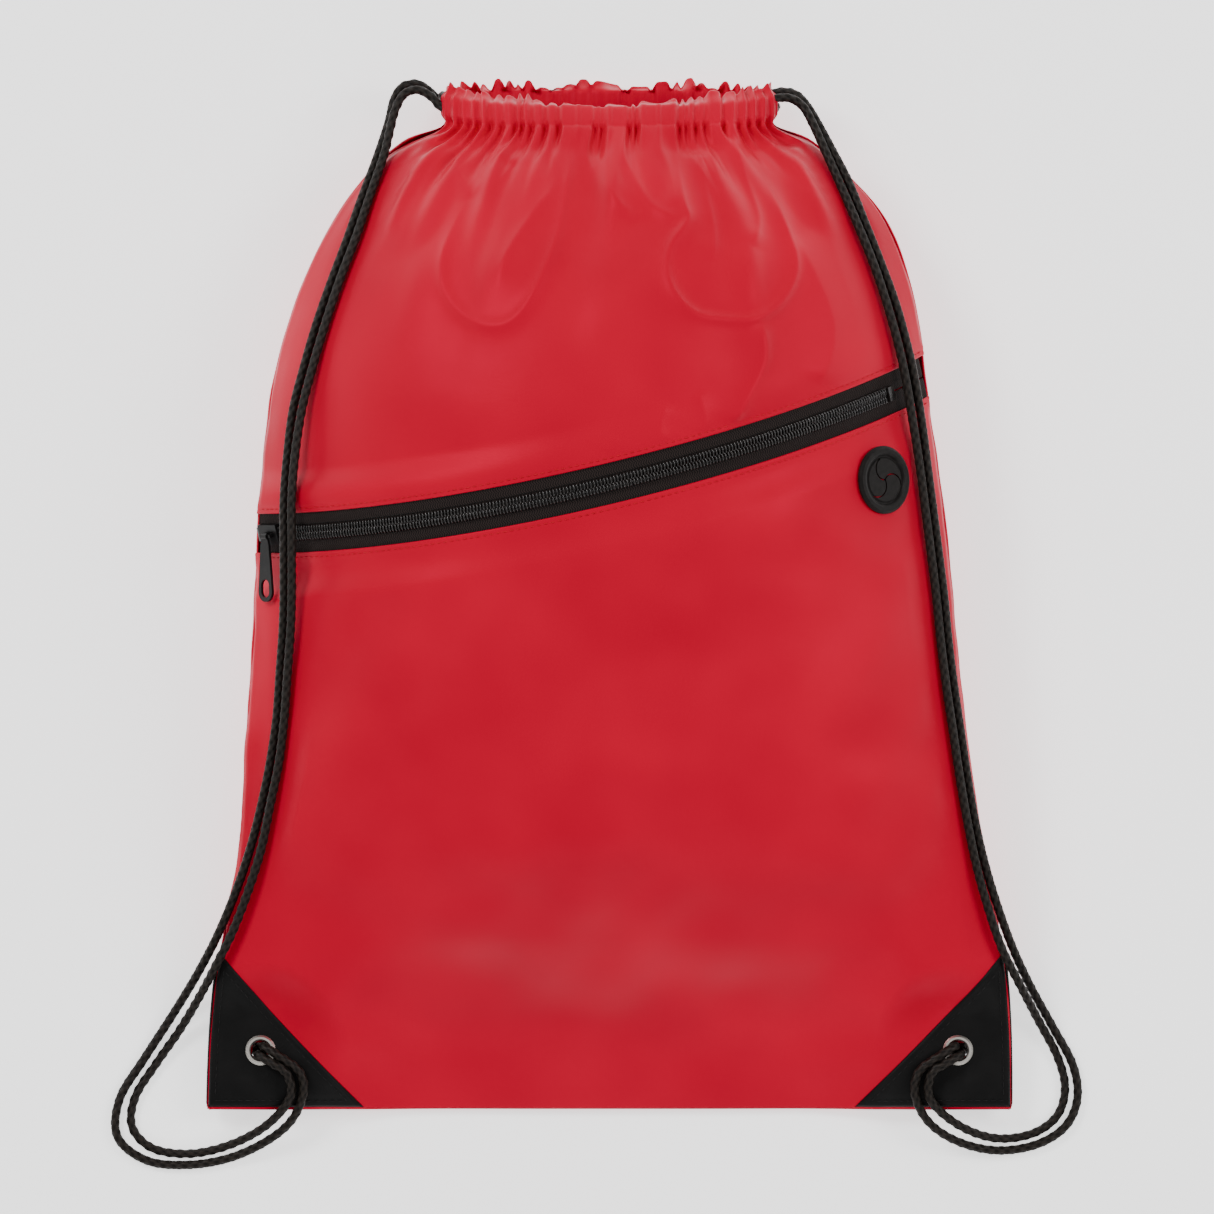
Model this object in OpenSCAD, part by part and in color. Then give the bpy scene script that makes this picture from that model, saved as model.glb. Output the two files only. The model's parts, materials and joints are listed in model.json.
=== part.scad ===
// Drawstring backpack, lightly filled, lying on its back with the front panel up.
// Millimetres. +X is to the right seen from above, +Y points to the mouth, and +Z is up.
// The origin is on the floor under the middle of the bag.

/* [Bag body] */
// Length from the bottom seam to the top edge of the ruffled mouth
bag_length = 457; // [452:1:460]
// Width of the flat bottom seam
bottom_width = 358; // [354:1:360]
// Height of the filled belly above the floor
belly_height = 114; // [110:1:116]
// Thickness of one layer of bag fabric
fabric = 0.8; // [0.6:0.1:0.9]
// Depth of the zipped front pocket at its middle
pocket_depth = 14; // [10:1:16]

/* [Corner patches] */
// Thickness of the coated corner patches
patch_thick = 0.8; // [0.5:0.1:0.9]
// Air left between a patch and the panel under it
patch_gap = 0.3; // [0.25:0.05:0.4]

/* [Grommets] */
// Radius of the hole through a grommet
grommet_bore_r = 4.4; // [4.2:0.1:4.8]
// Outer radius of a grommet's flange
grommet_flange_r = 6.7; // [6.4:0.1:7]
// Wall of the grommet's barrel
grommet_wall = 0.5; // [0.4:0.1:0.6]

/* [Cords] */
// Diameter of the braided cord
cord_d = 4; // [3.6:0.1:4]
// Diameter of the knot behind each grommet
knot_d = 14; // [12:1:15]

/* [Zip] */
// Half of the tape's width, measured from the middle of the zip
tape_half = 11.6; // [11:0.2:12]
// Half of the gap between the two panels' folded edges along the zip
panel_parting = 9.6; // [9:0.2:10]
// Thickness of the woven tape
tape_thick = 0.5; // [0.4:0.1:0.6]
// Width of one half of the coil
coil_width = 2.6; // [2.2:0.1:2.8]
// Height of the coil above the tape
coil_height = 2.1; // [1.8:0.1:2.2]

/* [Slider and puller] */
// Length of the slider body along the zip
slider_length = 12; // [11:0.5:12.5]
// Length of the pull tab from its pivot to its tip
puller_length = 29; // [26:1:31]
// Thickness of the pull tab
puller_thick = 1.3; // [1:0.1:1.5]
// Upward slant of the resting pull tab, in degrees
puller_slant = 16; // [15:1:20]

/* [Cable port] */
// Outer radius of the rubber cable port
port_r = 15; // [14:0.5:15.5]
// Radius of the port's barrel where it passes through the pocket panel
port_barrel_r = 11; // [10:0.5:12]

/* [Hem] */
// Half of the gathered mouth's width
mouth_half = 74; // [70:1:76]
// Half of a hem casing's height
casing_half = 7.4; // [7:0.1:7.8]
// Half of a hem casing's thickness
casing_swell = 3.5; // [3.3:0.1:3.8]

/* [Hidden] */

$fn = 48;
eps = 0.01;

red = "#e01834";
black = "#1d1b1b";

// Stations up the bag: y, left half-width, right half-width, height of the side seam,
// and rise of the front panel above the side seam
stations = [
    [-228.5, 179, 179, 3.4, 0.6],
    [-190, 177, 178, 9, 14],
    [-150, 172, 174, 20, 38],
    [-110, 164.5, 166.5, 30, 56],
    [-60, 161, 158.5, 35, 65],
    [0, 158, 153, 36, 70.5],
    [50, 155, 147.5, 36, 76],
    [90, 151, 142, 36, 78],
    [130, 140, 136, 35, 71],
    [165, 124, 124, 32, 55],
    [190, 106, 104, 29, 41],
    [205, 88, 87, 26, 32],
    [213, 79, 79, 24, 26]
];
nominal_length = 457;
nominal_width = 358;
nominal_height = 114;
length_k = bag_length / nominal_length;
width_k = bottom_width / nominal_width;
height_k = belly_height / nominal_height;
bottom_y = stations[0][0] * length_k;

// Columns and rows of the panel grids; a corner patch covers patch_cells of each
columns = 36;
patch_cells = 7;
// Air between the edges of the front and back panels at the side seams
lap_gap = 1.8;
cell_y = 10 * length_k;
patch_top_y = bottom_y + patch_cells * cell_y;

// Grommet centres, and the stack of layers that each one clamps
grommet_x = 155 * width_k;
grommet_y = -202 * length_k;
stack_height = 3.4;
corner_lift = 10.5;
flat_radius = 9;
lift_radius = 75;
pinch_radius = 40;

// The zip's middle line passes through three points of the front panel's surface
zip_left_y = 27.5 * length_k;
zip_middle_y = 48 * length_k;
zip_right_y = 97.5 * length_k;
panel_over_tape = 1.2;
zip_flat_half = 12;
zip_fade = 28;

// ---- Curves and surfaces of the filled bag ----

function lerp(a, b, f) = a + (b - a) * f;
function unit(v) = v / norm(v);
function clamp01(f) = min(1, max(0, f));
function smooth(lo, hi, v) = let (f = clamp01((v - lo) / (hi - lo))) f * f * (3 - 2 * f);

function span_of(x, i = 0) = i >= len(stations) - 2 || x < stations[i + 1][0] ? i : span_of(x, i + 1);
function slope_at(i, c) =
    let (lo = max(i - 1, 0), hi = min(i + 1, len(stations) - 1))
    (stations[hi][c] - stations[lo][c]) / (stations[hi][0] - stations[lo][0]);
// Column c of the stations at y, as a smooth curve through them
function station(c, y) =
    let (
        v = y / length_k,
        i = span_of(v),
        a = stations[i],
        b = stations[i + 1],
        w = b[0] - a[0],
        f = (v - a[0]) / w
    )
    (1 + 2 * f) * (1 - f) * (1 - f) * a[c] + f * f * (3 - 2 * f) * b[c]
    + w * slope_at(i, c) * f * (1 - f) * (1 - f) - w * slope_at(i + 1, c) * f * f * (1 - f);

function left_half(y) = station(1, y) * width_k;
function right_half(y) = station(2, y) * width_k;
function seam_height(y) = station(3, y) * height_k;
function rise(y) = station(4, y) * height_k;

function from_grommet(x, y) = norm([abs(x) - grommet_x, y - grommet_y]);
// Each bottom corner rides up on the knot that lies behind it
function lift(x, y) = corner_lift * (1 - smooth(flat_radius, lift_radius, from_grommet(x, y)));

// The front is a circular arc across the bag, from side seam to side seam
function arc_point(t, y) =
    let (
        l = left_half(y),
        r = right_half(y),
        w = (l + r) / 2,
        h = rise(y),
        big = (w * w + h * h) / (2 * h),
        a = t * asin(w / big)
    )
    [(r - l) / 2 + big * sin(a), y, seam_height(y) + h - big * (1 - cos(a))];

// The zip's circle, from its two ends and its middle
zip_left = arc_point(-1, zip_left_y);
zip_right = arc_point(1, zip_right_y);
zip_middle = arc_point(0, zip_middle_y);
zip_chord = zip_right - zip_left;
zip_bulge = zip_middle - zip_left;
zip_cross = cross(zip_bulge, zip_chord);
zip_centre = zip_left + cross(zip_cross, zip_bulge * (zip_chord * zip_chord)
    - zip_chord * (zip_bulge * zip_bulge)) / (2 * (zip_cross * zip_cross));
zip_r = norm(zip_left - zip_centre);
zip_axis = unit(zip_cross);
zip_along = unit(zip_chord);
zip_out = cross(zip_along, zip_axis);
tape_r = zip_r - panel_over_tape;

// Height of the zip's cylinder over x, y
function cylinder_z(x, y) =
    let (
        q = [x, y, 0] - zip_centre,
        s = q * zip_axis,
        a = 1 - zip_axis[2] * zip_axis[2],
        b = q[2] - s * zip_axis[2],
        d = q * q - s * s - zip_r * zip_r
    )
    (-b + sqrt(max(0, b * b - a * d))) / a;
// Distance across the zip, positive towards the mouth
function across_zip(p) = (p - zip_centre) * zip_axis;
// Angle round the zip's circle, 0 at the middle of its chord
function zip_angle(p) = atan2((p - zip_centre) * zip_along, (p - zip_centre) * zip_out);

// The outer face of the front: the arcs, laid onto the zip's cylinder along the zip,
// and pinched down on the layers under each grommet
function front_point(t, y) =
    let (
        p = arc_point(t, y),
        on_zip = 1 - smooth(zip_flat_half, zip_fade, abs(across_zip(p))),
        z = lerp(p[2], cylinder_z(p[0], p[1]), on_zip),
        pinch = 1 - smooth(flat_radius, pinch_radius, from_grommet(p[0], p[1]))
    )
    [p[0], p[1], lerp(z, stack_height, pinch) + lift(p[0], p[1])];

// The outer face of the back: flat on the floor, curling up to the side seams
function back_point(t, y) =
    let (
        side = t < 0 ? -1 : 1,
        half = t < 0 ? left_half(y) : right_half(y),
        seam = front_point(side, y)[2] - lift(side * half, y) - fabric - lap_gap,
        flat_part = half - seam,
        s = abs(t) * (flat_part + seam * PI / 2),
        a = max(0, s - flat_part) / seam * 180 / PI,
        x = side * (min(s, flat_part) + seam * sin(a))
    )
    [x, y, seam * (1 - cos(a)) + lift(x, y)];

dt = 0.004;
dy = 0.6;
y_limit = stations[len(stations) - 1][0] * length_k;
function front_normal(t, y) = unit(cross(
    front_point(min(1, t + dt), y) - front_point(max(-1, t - dt), y),
    front_point(t, min(y_limit, y + dy)) - front_point(t, max(bottom_y, y - dy))));
function back_normal(t, y) = unit(cross(
    back_point(t, min(y_limit, y + dy)) - back_point(t, max(bottom_y, y - dy)),
    back_point(min(1, t + dt), y) - back_point(max(-1, t - dt), y)));
function front_at(t, y, k) = front_point(t, y) + k * front_normal(t, y);
function back_at(t, y, k) = back_point(t, y) + k * back_normal(t, y);

// y on column t where the front is s across the zip
function zip_y(t, s, lo = 0, hi = 140, n = 0) =
    let (mid = (lo + hi) / 2)
    n > 18 ? mid
    : across_zip(front_point(t, mid)) < s ? zip_y(t, s, mid, hi, n + 1)
    : zip_y(t, s, lo, mid, n + 1);

function column_t(i, n) = 2 * i / n - 1;
function front_top_y(t) = (211 - 7 * cos(90 * t)) * length_k;
function back_top_y(t) = (210.5 + 1.5 * cos(90 * t)) * length_k;
// Rows of column t below the zip: the patch grid, an even spread, and a last row along the zip
pocket_spread = 7;
function pocket_rows(t) = let (y_end = zip_y(t, -zip_fade)) concat(
    [for (j = [0:patch_cells]) bottom_y + j * cell_y],
    [for (j = [1:pocket_spread]) lerp(patch_top_y, y_end, j / pocket_spread)],
    zip_y(t, -panel_parting));
// Rows above it: one along the zip, one just past the tape, and an even spread up to y_end
upper_spread = 9;
function upper_rows(t, y_end) = let (y_first = zip_y(t, panel_parting + 3.4)) concat(
    zip_y(t, panel_parting),
    [for (j = [0:upper_spread]) lerp(y_first, y_end, j / upper_spread)]);

// ---- Closed shells between two grids of points ----

function quad(a, b, c, d, turn) = turn ? [[a, b, d], [b, c, d]] : [[a, b, c], [a, c, d]];

// Grids are lists of columns from low x to high x, each from low y to high y
module shell(upper, lower) {
    nx = len(upper) - 1;
    ny = len(upper[0]) - 1;
    stride = ny + 1;
    low = (nx + 1) * stride;
    function at(i, j) = i * stride + j;
    faces = [
        for (i = [0:nx - 1], j = [0:ny - 1]) each concat(
            quad(at(i, j), at(i, j + 1), at(i + 1, j + 1), at(i + 1, j), i < nx / 2),
            quad(low + at(i + 1, j), low + at(i + 1, j + 1), low + at(i, j + 1), low + at(i, j), i >= nx / 2)),
        for (j = [0:ny - 1]) each concat(
            quad(at(0, j), low + at(0, j), low + at(0, j + 1), at(0, j + 1), false),
            quad(at(nx, j), at(nx, j + 1), low + at(nx, j + 1), low + at(nx, j), false)),
        for (i = [0:nx - 1]) each concat(
            quad(at(i, 0), at(i + 1, 0), low + at(i + 1, 0), low + at(i, 0), false),
            quad(at(i, ny), low + at(i, ny), low + at(i + 1, ny), at(i + 1, ny), false))
    ];
    polyhedron([for (column = concat(upper, lower)) each column], faces);
}

// A closed triangle of the patch grid: corner at (0, 0), legs of n cells
module corner_shell(upper, lower, mirrored) {
    n = len(upper) - 1;
    low = (n + 1) * (n + 2) / 2;
    function at(i, j) = i * (n + 1) - i * (i - 1) / 2 + j;
    function tri(a, b, c) = mirrored ? [c, b, a] : [a, b, c];
    faces = [
        for (i = [0:n - 1], j = [0:n - 1 - i]) each [
            tri(at(i, j), at(i, j + 1), at(i + 1, j)),
            tri(low + at(i, j), low + at(i + 1, j), low + at(i, j + 1))],
        for (i = [0:n - 2], j = [0:n - 2 - i]) each [
            tri(at(i + 1, j), at(i, j + 1), at(i + 1, j + 1)),
            tri(low + at(i + 1, j), low + at(i + 1, j + 1), low + at(i, j + 1))],
        for (k = [0:n - 1]) each [
            tri(at(0, k + 1), at(0, k), low + at(0, k)),
            tri(at(0, k + 1), low + at(0, k), low + at(0, k + 1)),
            tri(at(k, 0), at(k + 1, 0), low + at(k + 1, 0)),
            tri(at(k, 0), low + at(k + 1, 0), low + at(k, 0)),
            tri(at(k + 1, n - k - 1), at(k, n - k), low + at(k, n - k)),
            tri(at(k + 1, n - k - 1), low + at(k, n - k), low + at(k + 1, n - k - 1))]
    ];
    polyhedron([for (column = concat(upper, lower)) each column], faces);
}

module grommet_holes(r) {
    for (side = [-1, 1])
        translate([side * grommet_x, grommet_y, -5]) cylinder(r = r, h = 40);
}

barrel_r = grommet_bore_r + grommet_wall;
layer_hole_r = barrel_r + 0.3;

// ---- Fabric ----

// The back has the same rows as the two front panels, so that their edges match at the side seams
module back_panel() {
    function grid(k) = [for (i = [0:columns]) let (t = column_t(i, columns))
        [for (y = concat(pocket_rows(t), upper_rows(t, back_top_y(t)))) back_at(t, y, k)]];
    color(red) difference() {
        shell(grid(-fabric), grid(0));
        grommet_holes(layer_hole_r);
    }
}

module front_panel() {
    function grid(k) = [for (i = [0:columns]) let (t = column_t(i, columns))
        [for (y = upper_rows(t, front_top_y(t))) front_at(t, y, k)]];
    color(red) shell(grid(0), grid(-fabric));
}

module pocket_panel() {
    function grid(k) = [for (i = [0:columns]) let (t = column_t(i, columns))
        [for (y = pocket_rows(t)) front_at(t, y, k)]];
    color(red) difference() {
        shell(grid(0), grid(-fabric));
        grommet_holes(layer_hole_r);
        at_port() translate([0, 0, -6]) cylinder(r = port_barrel_r + 0.4, h = 12);
    }
}

// The lining keeps to the panel's columns, less the outermost ones, so that it lies evenly under it
module pocket_lining() {
    reach = 1 - 2 / columns;
    lining = 0.6;
    under_panel = fabric + 0.9;
    under_tape = panel_over_tape + tape_thick + 2;
    function depth(t, f) =
        lerp(under_panel, under_tape, smooth(0.6, 1, f))
        + pocket_depth * (1 - pow(abs(t) / reach, 4)) * smooth(0.2, 0.5, f) * (1 - smooth(0.86, 1, f));
    function grid(k) = [for (i = [1:columns - 1])
        let (t = column_t(i, columns), y_end = zip_y(t, tape_half - 1))
        [for (y = concat(pocket_rows(t), y_end))
            let (f = (y - bottom_y) / (y_end - bottom_y)) front_at(t, y, -depth(t, f) - k)]];
    color(red) difference() {
        shell(grid(0), grid(lining));
        grommet_holes(layer_hole_r);
    }
}

// Corner patches share the panels' grid, so that they lie evenly on the fabric
module patch(side, front) {
    function grid(k) = [for (i = [0:patch_cells])
        let (t = side * (1 - 2 * i / columns))
        [for (j = [0:patch_cells - i]) let (y = bottom_y + j * cell_y)
            front ? front_at(t, y, k) : back_at(t, y, k)]];
    color(black) difference() {
        corner_shell(grid(patch_gap + patch_thick), grid(patch_gap), (side > 0) != front);
        grommet_holes(layer_hole_r);
    }
}

// ---- Hem casings round the mouth ----

mouth_y = 219.5 * length_k;
mouth_side_z = 24;
function front_rim(a) = [mouth_half * sin(a), mouth_y - 8 * cos(a), mouth_side_z + 27 * cos(a)];
function back_rim(a) = [mouth_half * sin(a), mouth_y + 1.6 * cos(a), mouth_side_z - 19 * sqrt(cos(a))];
function front_rim_up(a) = unit([0, 1, -0.75 * cos(a)]);
function back_rim_up(a) = [0, 1, 0];
function rim(front, a) = front ? front_rim(a) : back_rim(a);
function rim_up(front, a) = front ? front_rim_up(a) : back_rim_up(a);
// A point of the casing's section: up the fabric by u, out of it by v
function casing_point(front, a, u, v) =
    let (
        up = rim_up(front, a),
        along = unit(rim(front, min(90, a + 1)) - rim(front, max(-90, a - 1))),
        out = unit(cross(along, up))
    )
    rim(front, a) + u * up + v * out;

// Rings of points make a pipe: outer rings, inner rings and two ring-shaped ends
module pipe(outer, inner) {
    nr = len(outer) - 1;
    ns = len(outer[0]);
    low = (nr + 1) * ns;
    function at(i, j) = i * ns + j % ns;
    faces = [
        for (i = [0:nr - 1], j = [0:ns - 1]) each concat(
            quad(at(i, j), at(i, j + 1), at(i + 1, j + 1), at(i + 1, j), false),
            quad(low + at(i + 1, j), low + at(i + 1, j + 1), low + at(i, j + 1), low + at(i, j), true)),
        for (j = [0:ns - 1]) each concat(
            quad(at(0, j + 1), at(0, j), low + at(0, j), low + at(0, j + 1), false),
            quad(at(nr, j), at(nr, j + 1), low + at(nr, j + 1), low + at(nr, j), false))
    ];
    polyhedron([for (ring = concat(outer, inner)) each ring], faces);
}

module hem_casing(front) {
    sides = 12;
    stations_round = 22;
    reach = 66;
    function rings(a, b) = [for (i = [0:stations_round])
        let (rim_a = lerp(-reach, reach, i / stations_round))
        [for (j = [0:sides - 1]) let (c = -j * 360 / sides)
            casing_point(front, rim_a, a * cos(c), b * sin(c))]];
    color(red) pipe(rings(casing_half, casing_swell), rings(casing_half - fabric, casing_swell - fabric));
}

// ---- Cords ----

// A closed tube through path, with one ring for each of its points
function path_dir(p, i) = unit(p[min(i + 1, len(p) - 1)] - p[max(i - 1, 0)]);
function carried(v, d) = unit(v - (v * d) * d);
function frames(p, i, v) =
    let (w = carried(v, path_dir(p, i)))
    i == len(p) - 1 ? [w] : concat([w], frames(p, i + 1, w));
module tube(p, r, sides = 8) {
    first = carried([0.12, 0.2, 1], path_dir(p, 0));
    u = frames(p, 0, first);
    n = len(p) - 1;
    points = [for (i = [0:n], j = [0:sides - 1])
        let (c = -j * 360 / sides, w = cross(path_dir(p, i), u[i]))
        p[i] + r * cos(c) * u[i] + r * sin(c) * w];
    function at(i, j) = i * sides + j % sides;
    faces = [
        [for (j = [0:sides - 1]) at(0, sides - 1 - j)],
        [for (j = [0:sides - 1]) at(n, j)],
        for (i = [0:n - 1], j = [0:sides - 1]) each
            quad(at(i, j), at(i, j + 1), at(i + 1, j + 1), at(i + 1, j), false)
    ];
    polyhedron(points, faces);
}

// A smooth path through p, with n steps between its points
function knot_at(p, i) = p[min(max(i, 0), len(p) - 1)];
function smooth_path(p, n) = [
    for (i = [0:len(p) - 2], k = [0:n - 1])
        let (
            f = k / n,
            a = knot_at(p, i - 1),
            b = p[i],
            c = p[i + 1],
            d = knot_at(p, i + 2)
        )
        0.5 * (2 * b + (c - a) * f + (2 * a - 5 * b + 4 * c - d) * f * f + (3 * b - a - 3 * c + d) * f * f * f),
    p[len(p) - 1]
];

// Free strands, from the hem's side openings over the front and the floor to the grommets.
// The outer strand of each pair comes from the back casing and the inner one from the front casing.
// They stand clear of the path of the zip's puller.
left_outer = [
    [-70, 217.6, 13.2], [-75, 218.9, 14.5], [-79, 223.3, 17], [-85, 227.2, 20.5], [-91.5, 226, 23.5],
    [-95.5, 220, 25.5], [-98, 209.5, 28], [-103, 194, 33], [-109.5, 176, 42], [-116, 157, 50],
    [-123, 138, 55], [-129.5, 119, 57.5], [-135, 100, 59], [-139.5, 82, 60], [-142, 62, 61],
    [-143.5, 42, 62], [-143.5, 22, 62.5], [-143.5, 4, 60.5], [-144, -14, 57.5], [-145.5, -34, 53.5],
    [-147, -54, 51], [-150, -74, 47.5], [-154, -93, 43], [-159, -112, 37.5], [-165.5, -131, 31],
    [-173.5, -150, 24.5], [-183, -168, 14.5], [-194, -186, 5.5], [-207, -206, 2.2], [-218, -224, 2.2],
    [-219, -241, 2.2], [-206, -251.5, 2.2], [-188, -253.5, 2.2], [-169.5, -250.5, 2.5], [-153, -243, 6.5],
    [-141.5, -233.5, 13], [-136, -221.5, 18], [-137.5, -211.5, 19.5], [-147, -204.1, 20.8],
    [-153.9, -200.1, 17.6]
];
left_inner = [
    [-70, 214.5, 33.3], [-75, 217, 31.5], [-79, 221.3, 29.8], [-85, 224.3, 28.5], [-91, 222.3, 28.8],
    [-94.8, 215.5, 30.8], [-97.2, 206, 33.4], [-99.8, 195, 36.5], [-105.5, 178, 44], [-112, 158, 53],
    [-119, 139, 58.5], [-125.5, 119, 61.5], [-131, 100, 63], [-135.5, 82, 64], [-138.5, 62, 65],
    [-140, 42, 65.5], [-140, 22, 65], [-140, 4, 63.5], [-140.5, -14, 60.5], [-142, -34, 57.5],
    [-143.5, -54, 54.5], [-146, -74, 51], [-150, -93, 47], [-154, -112, 41.5], [-160, -131, 35],
    [-167, -149, 30], [-174.5, -164, 25.5], [-182, -178, 15.5], [-191, -193, 6], [-201.5, -208, 2.4],
    [-211, -223, 2.2], [-212.5, -236.5, 2.2], [-203.5, -246, 2.2], [-187, -248.5, 2.2], [-169, -244.5, 4],
    [-152.5, -235.5, 12], [-141.8, -223, 18.2], [-143, -212.5, 20.2], [-150.1, -207.3, 20.8],
    [-156.1, -203.9, 17.6]
];
right_outer = [
    [70, 222.4, 13.2], [76.5, 224, 16.5], [83, 222.5, 20.5], [88, 217, 24.5], [93, 208.5, 28],
    [98.5, 198, 32.5], [106, 183, 39.5], [113, 165, 47], [120, 147, 51], [126.5, 129, 53],
    [131.5, 111, 53.5], [135, 95, 52.5], [138, 77, 51.5], [140.5, 58, 50.5], [143, 39, 49],
    [145.5, 20, 47.5], [148, 0, 46.5], [150, -20, 45], [152.5, -40, 43.5], [155.5, -60, 41.5],
    [158.5, -80, 39.5], [162, -100, 37], [166.5, -119, 33], [172, -137, 28.5], [179, -156, 19.5],
    [187.5, -174, 9.5], [197.5, -192, 3.2], [206.5, -209, 2.2], [208.5, -224, 2.2], [203, -236.5, 2.2],
    [190, -244.5, 2.2], [172.5, -247, 3], [155.5, -243, 8], [142.5, -234.5, 13.5], [136, -222.5, 18],
    [137.5, -211.5, 19.5], [147, -204.1, 20.8], [153.9, -200.1, 17.6]
];
right_inner = [
    [70, 219.2, 32.2], [75.5, 220.7, 30], [81, 220.3, 28.5], [86.2, 216.5, 29], [90.3, 209, 31.5],
    [95, 198.5, 35], [102, 182.5, 42], [109.5, 164.5, 50.5], [116.5, 147, 54.5], [122.5, 129, 56.5],
    [127.5, 111, 57], [131, 95, 56], [134, 77, 55], [137, 58, 53.5], [139.5, 39, 52], [142, 20, 50.5],
    [144.5, 0, 49], [146.5, -20, 48], [149, -40, 47], [152, -60, 45], [155, -80, 43], [158.5, -100, 40],
    [162.5, -119, 36], [167.5, -137, 31.5], [174, -156, 27], [182.5, -173, 18.5], [191, -189, 7],
    [199.5, -205, 2.4], [203, -219, 2.2], [199.5, -231.5, 2.2], [188.5, -239.5, 2.2], [172, -241.5, 4.5],
    [155.5, -235.5, 11.5], [142.8, -224, 18], [143, -212.5, 20.2], [150.1, -207.3, 20.8],
    [156.1, -203.9, 17.6]
];
module strand(route) {
    color(black) tube(smooth_path(route, 2), cord_d / 2);
}

// The cord inside the hem, along the front casing, round the far side and back along the back casing
module cord_hem(side) {
    exit_a = 69;
    u = side * 2.4;
    there = [for (a = [-exit_a:8:85]) casing_point(true, side < 0 ? a : -a, u, 0)];
    back = [for (a = [90:-8:-exit_a]) casing_point(false, side < 0 ? a : -a, u, 0)];
    color(black) tube(concat(there, back), cord_d / 2);
}

// ---- Zip ----

// Frame on the zip's circle: +X out of the bag, +Y along the zip to the right, +Z across it to the mouth
module zip_frame() {
    multmatrix([
        [zip_out[0], zip_along[0], zip_axis[0], zip_centre[0]],
        [zip_out[1], zip_along[1], zip_axis[1], zip_centre[1]],
        [zip_out[2], zip_along[2], zip_axis[2], zip_centre[2]],
        [0, 0, 0, 1]
    ]) children();
}
module on_tape(angle) {
    zip_frame() rotate([0, 0, angle]) translate([tape_r, 0, 0]) children();
}
// A strip along the zip with the 2D section children: X out of the tape, Y across it
module along_zip(a, b) {
    zip_frame() rotate([0, 0, a]) rotate_extrude(angle = b - a, $fn = 200) translate([tape_r, 0]) children();
}

arc_degree = PI * tape_r / 180;
coil_gap = 0.55;
tape_start = zip_angle(zip_left) + 2.2 / arc_degree;
tape_end = zip_angle(zip_right) - 2.2 / arc_degree;
slider_angle = tape_start + (3.2 + slider_length / 2) / arc_degree;
top_stop_angle = tape_start + 1.6 / arc_degree;
bottom_stop_angle = tape_end - 26 / arc_degree;

module zip_tape(side) {
    color(black) along_zip(tape_start, tape_end)
        translate([-tape_thick, side > 0 ? coil_gap : -tape_half]) square([tape_thick, tape_half - coil_gap]);
}
module zip_coil(side) {
    edge = coil_gap + coil_width;
    chamfer = 0.6;
    color(black) along_zip(top_stop_angle + 1.4 / arc_degree, bottom_stop_angle - 2.2 / arc_degree)
        polygon([
            [0.05, side * coil_gap],
            [0.05, side * edge],
            [coil_height - chamfer, side * edge],
            [coil_height, side * (edge - chamfer)],
            [coil_height, side * (coil_gap + chamfer)],
            [coil_height - chamfer, side * coil_gap]
        ]);
}
module zip_stop(angle, length) {
    height = coil_height + 0.2;
    half = coil_gap + coil_width;
    color(black) on_tape(angle)
        translate([0.05, -length / 2, -half]) cube([height, length, 2 * half]);
}

running_gap = 0.35;
plate = 1;
slider_half = coil_gap + coil_width + running_gap + 1.1;
slider_top = coil_height + running_gap + plate;
bar_r = 0.55;
bar_x = slider_top + 1.7;
module zip_slider() {
    flange_foot = 0.4;
    post_thick = 0.4;
    foot = 1.2;
    color(black) on_tape(slider_angle) {
        // Upper and lower plates
        translate([slider_top - plate, -slider_length / 2, -slider_half])
            cube([plate, slider_length, 2 * slider_half]);
        translate([-tape_thick - running_gap - plate, -slider_length / 2, -slider_half])
            cube([plate, slider_length, 2 * slider_half]);
        // Flanges that hold the coil in line
        for (side = [-1, 1])
            translate([flange_foot, -slider_length / 2, side > 0 ? slider_half - 1.1 : -slider_half])
                cube([slider_top - flange_foot - eps, slider_length, 1.1]);
        // Dividing post at the open end
        translate([-tape_thick - running_gap - eps, -slider_length / 2, -post_thick / 2])
            cube([slider_top - plate + tape_thick + running_gap + 2 * eps, 2.5, post_thick]);
        // Bridge that carries the puller
        translate([bar_x, 0, 0]) rotate([90, 0, 0]) cylinder(r = bar_r, h = 7, center = true);
        for (end = [-1, 1])
            translate([slider_top - eps, end * (3.5 - foot / 2) - foot / 2, -0.8])
                cube([bar_x + bar_r - slider_top, foot, 1.6]);
    }
}

module zip_puller() {
    eye_r = bar_r + 0.3;
    eye_wall = 0.6;
    eye_width = 3.6;
    neck_half = 2.8;
    end_r = 4.6;
    slot_r = 2.7;
    slot_run = 2.6;
    tip = puller_length - end_r;
    color(black) on_tape(slider_angle) translate([bar_x, 0, 0]) rotate([0, -puller_slant, 0]) {
        // Eye round the bridge's bar
        rotate([90, 0, 0]) difference() {
            cylinder(r = eye_r + eye_wall, h = eye_width, center = true);
            cylinder(r = eye_r, h = eye_width + 1, center = true);
        }
        // Tab, with an oval hole at its free end
        difference() {
            rotate([0, 90, 0]) translate([0, 0, -puller_thick / 2]) union() {
                linear_extrude(puller_thick) polygon([
                    [eye_r + 0.2, -eye_width / 2],
                    [eye_r + 0.2, eye_width / 2],
                    [4, neck_half],
                    [tip, end_r],
                    [tip, -end_r],
                    [4, -neck_half]
                ]);
                translate([tip, 0, 0]) cylinder(r = end_r, h = puller_thick);
            }
            rotate([0, 90, 0]) translate([0, 0, -puller_thick]) union() {
                translate([tip, 0, 0]) cylinder(r = slot_r, h = 2 * puller_thick);
                translate([tip - slot_run, 0, 0]) cylinder(r = slot_r, h = 2 * puller_thick);
                translate([tip - slot_run, -slot_r, 0]) cube([slot_run, 2 * slot_r, 2 * puller_thick]);
            }
        }
    }
}

// ---- Cable port ----

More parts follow.
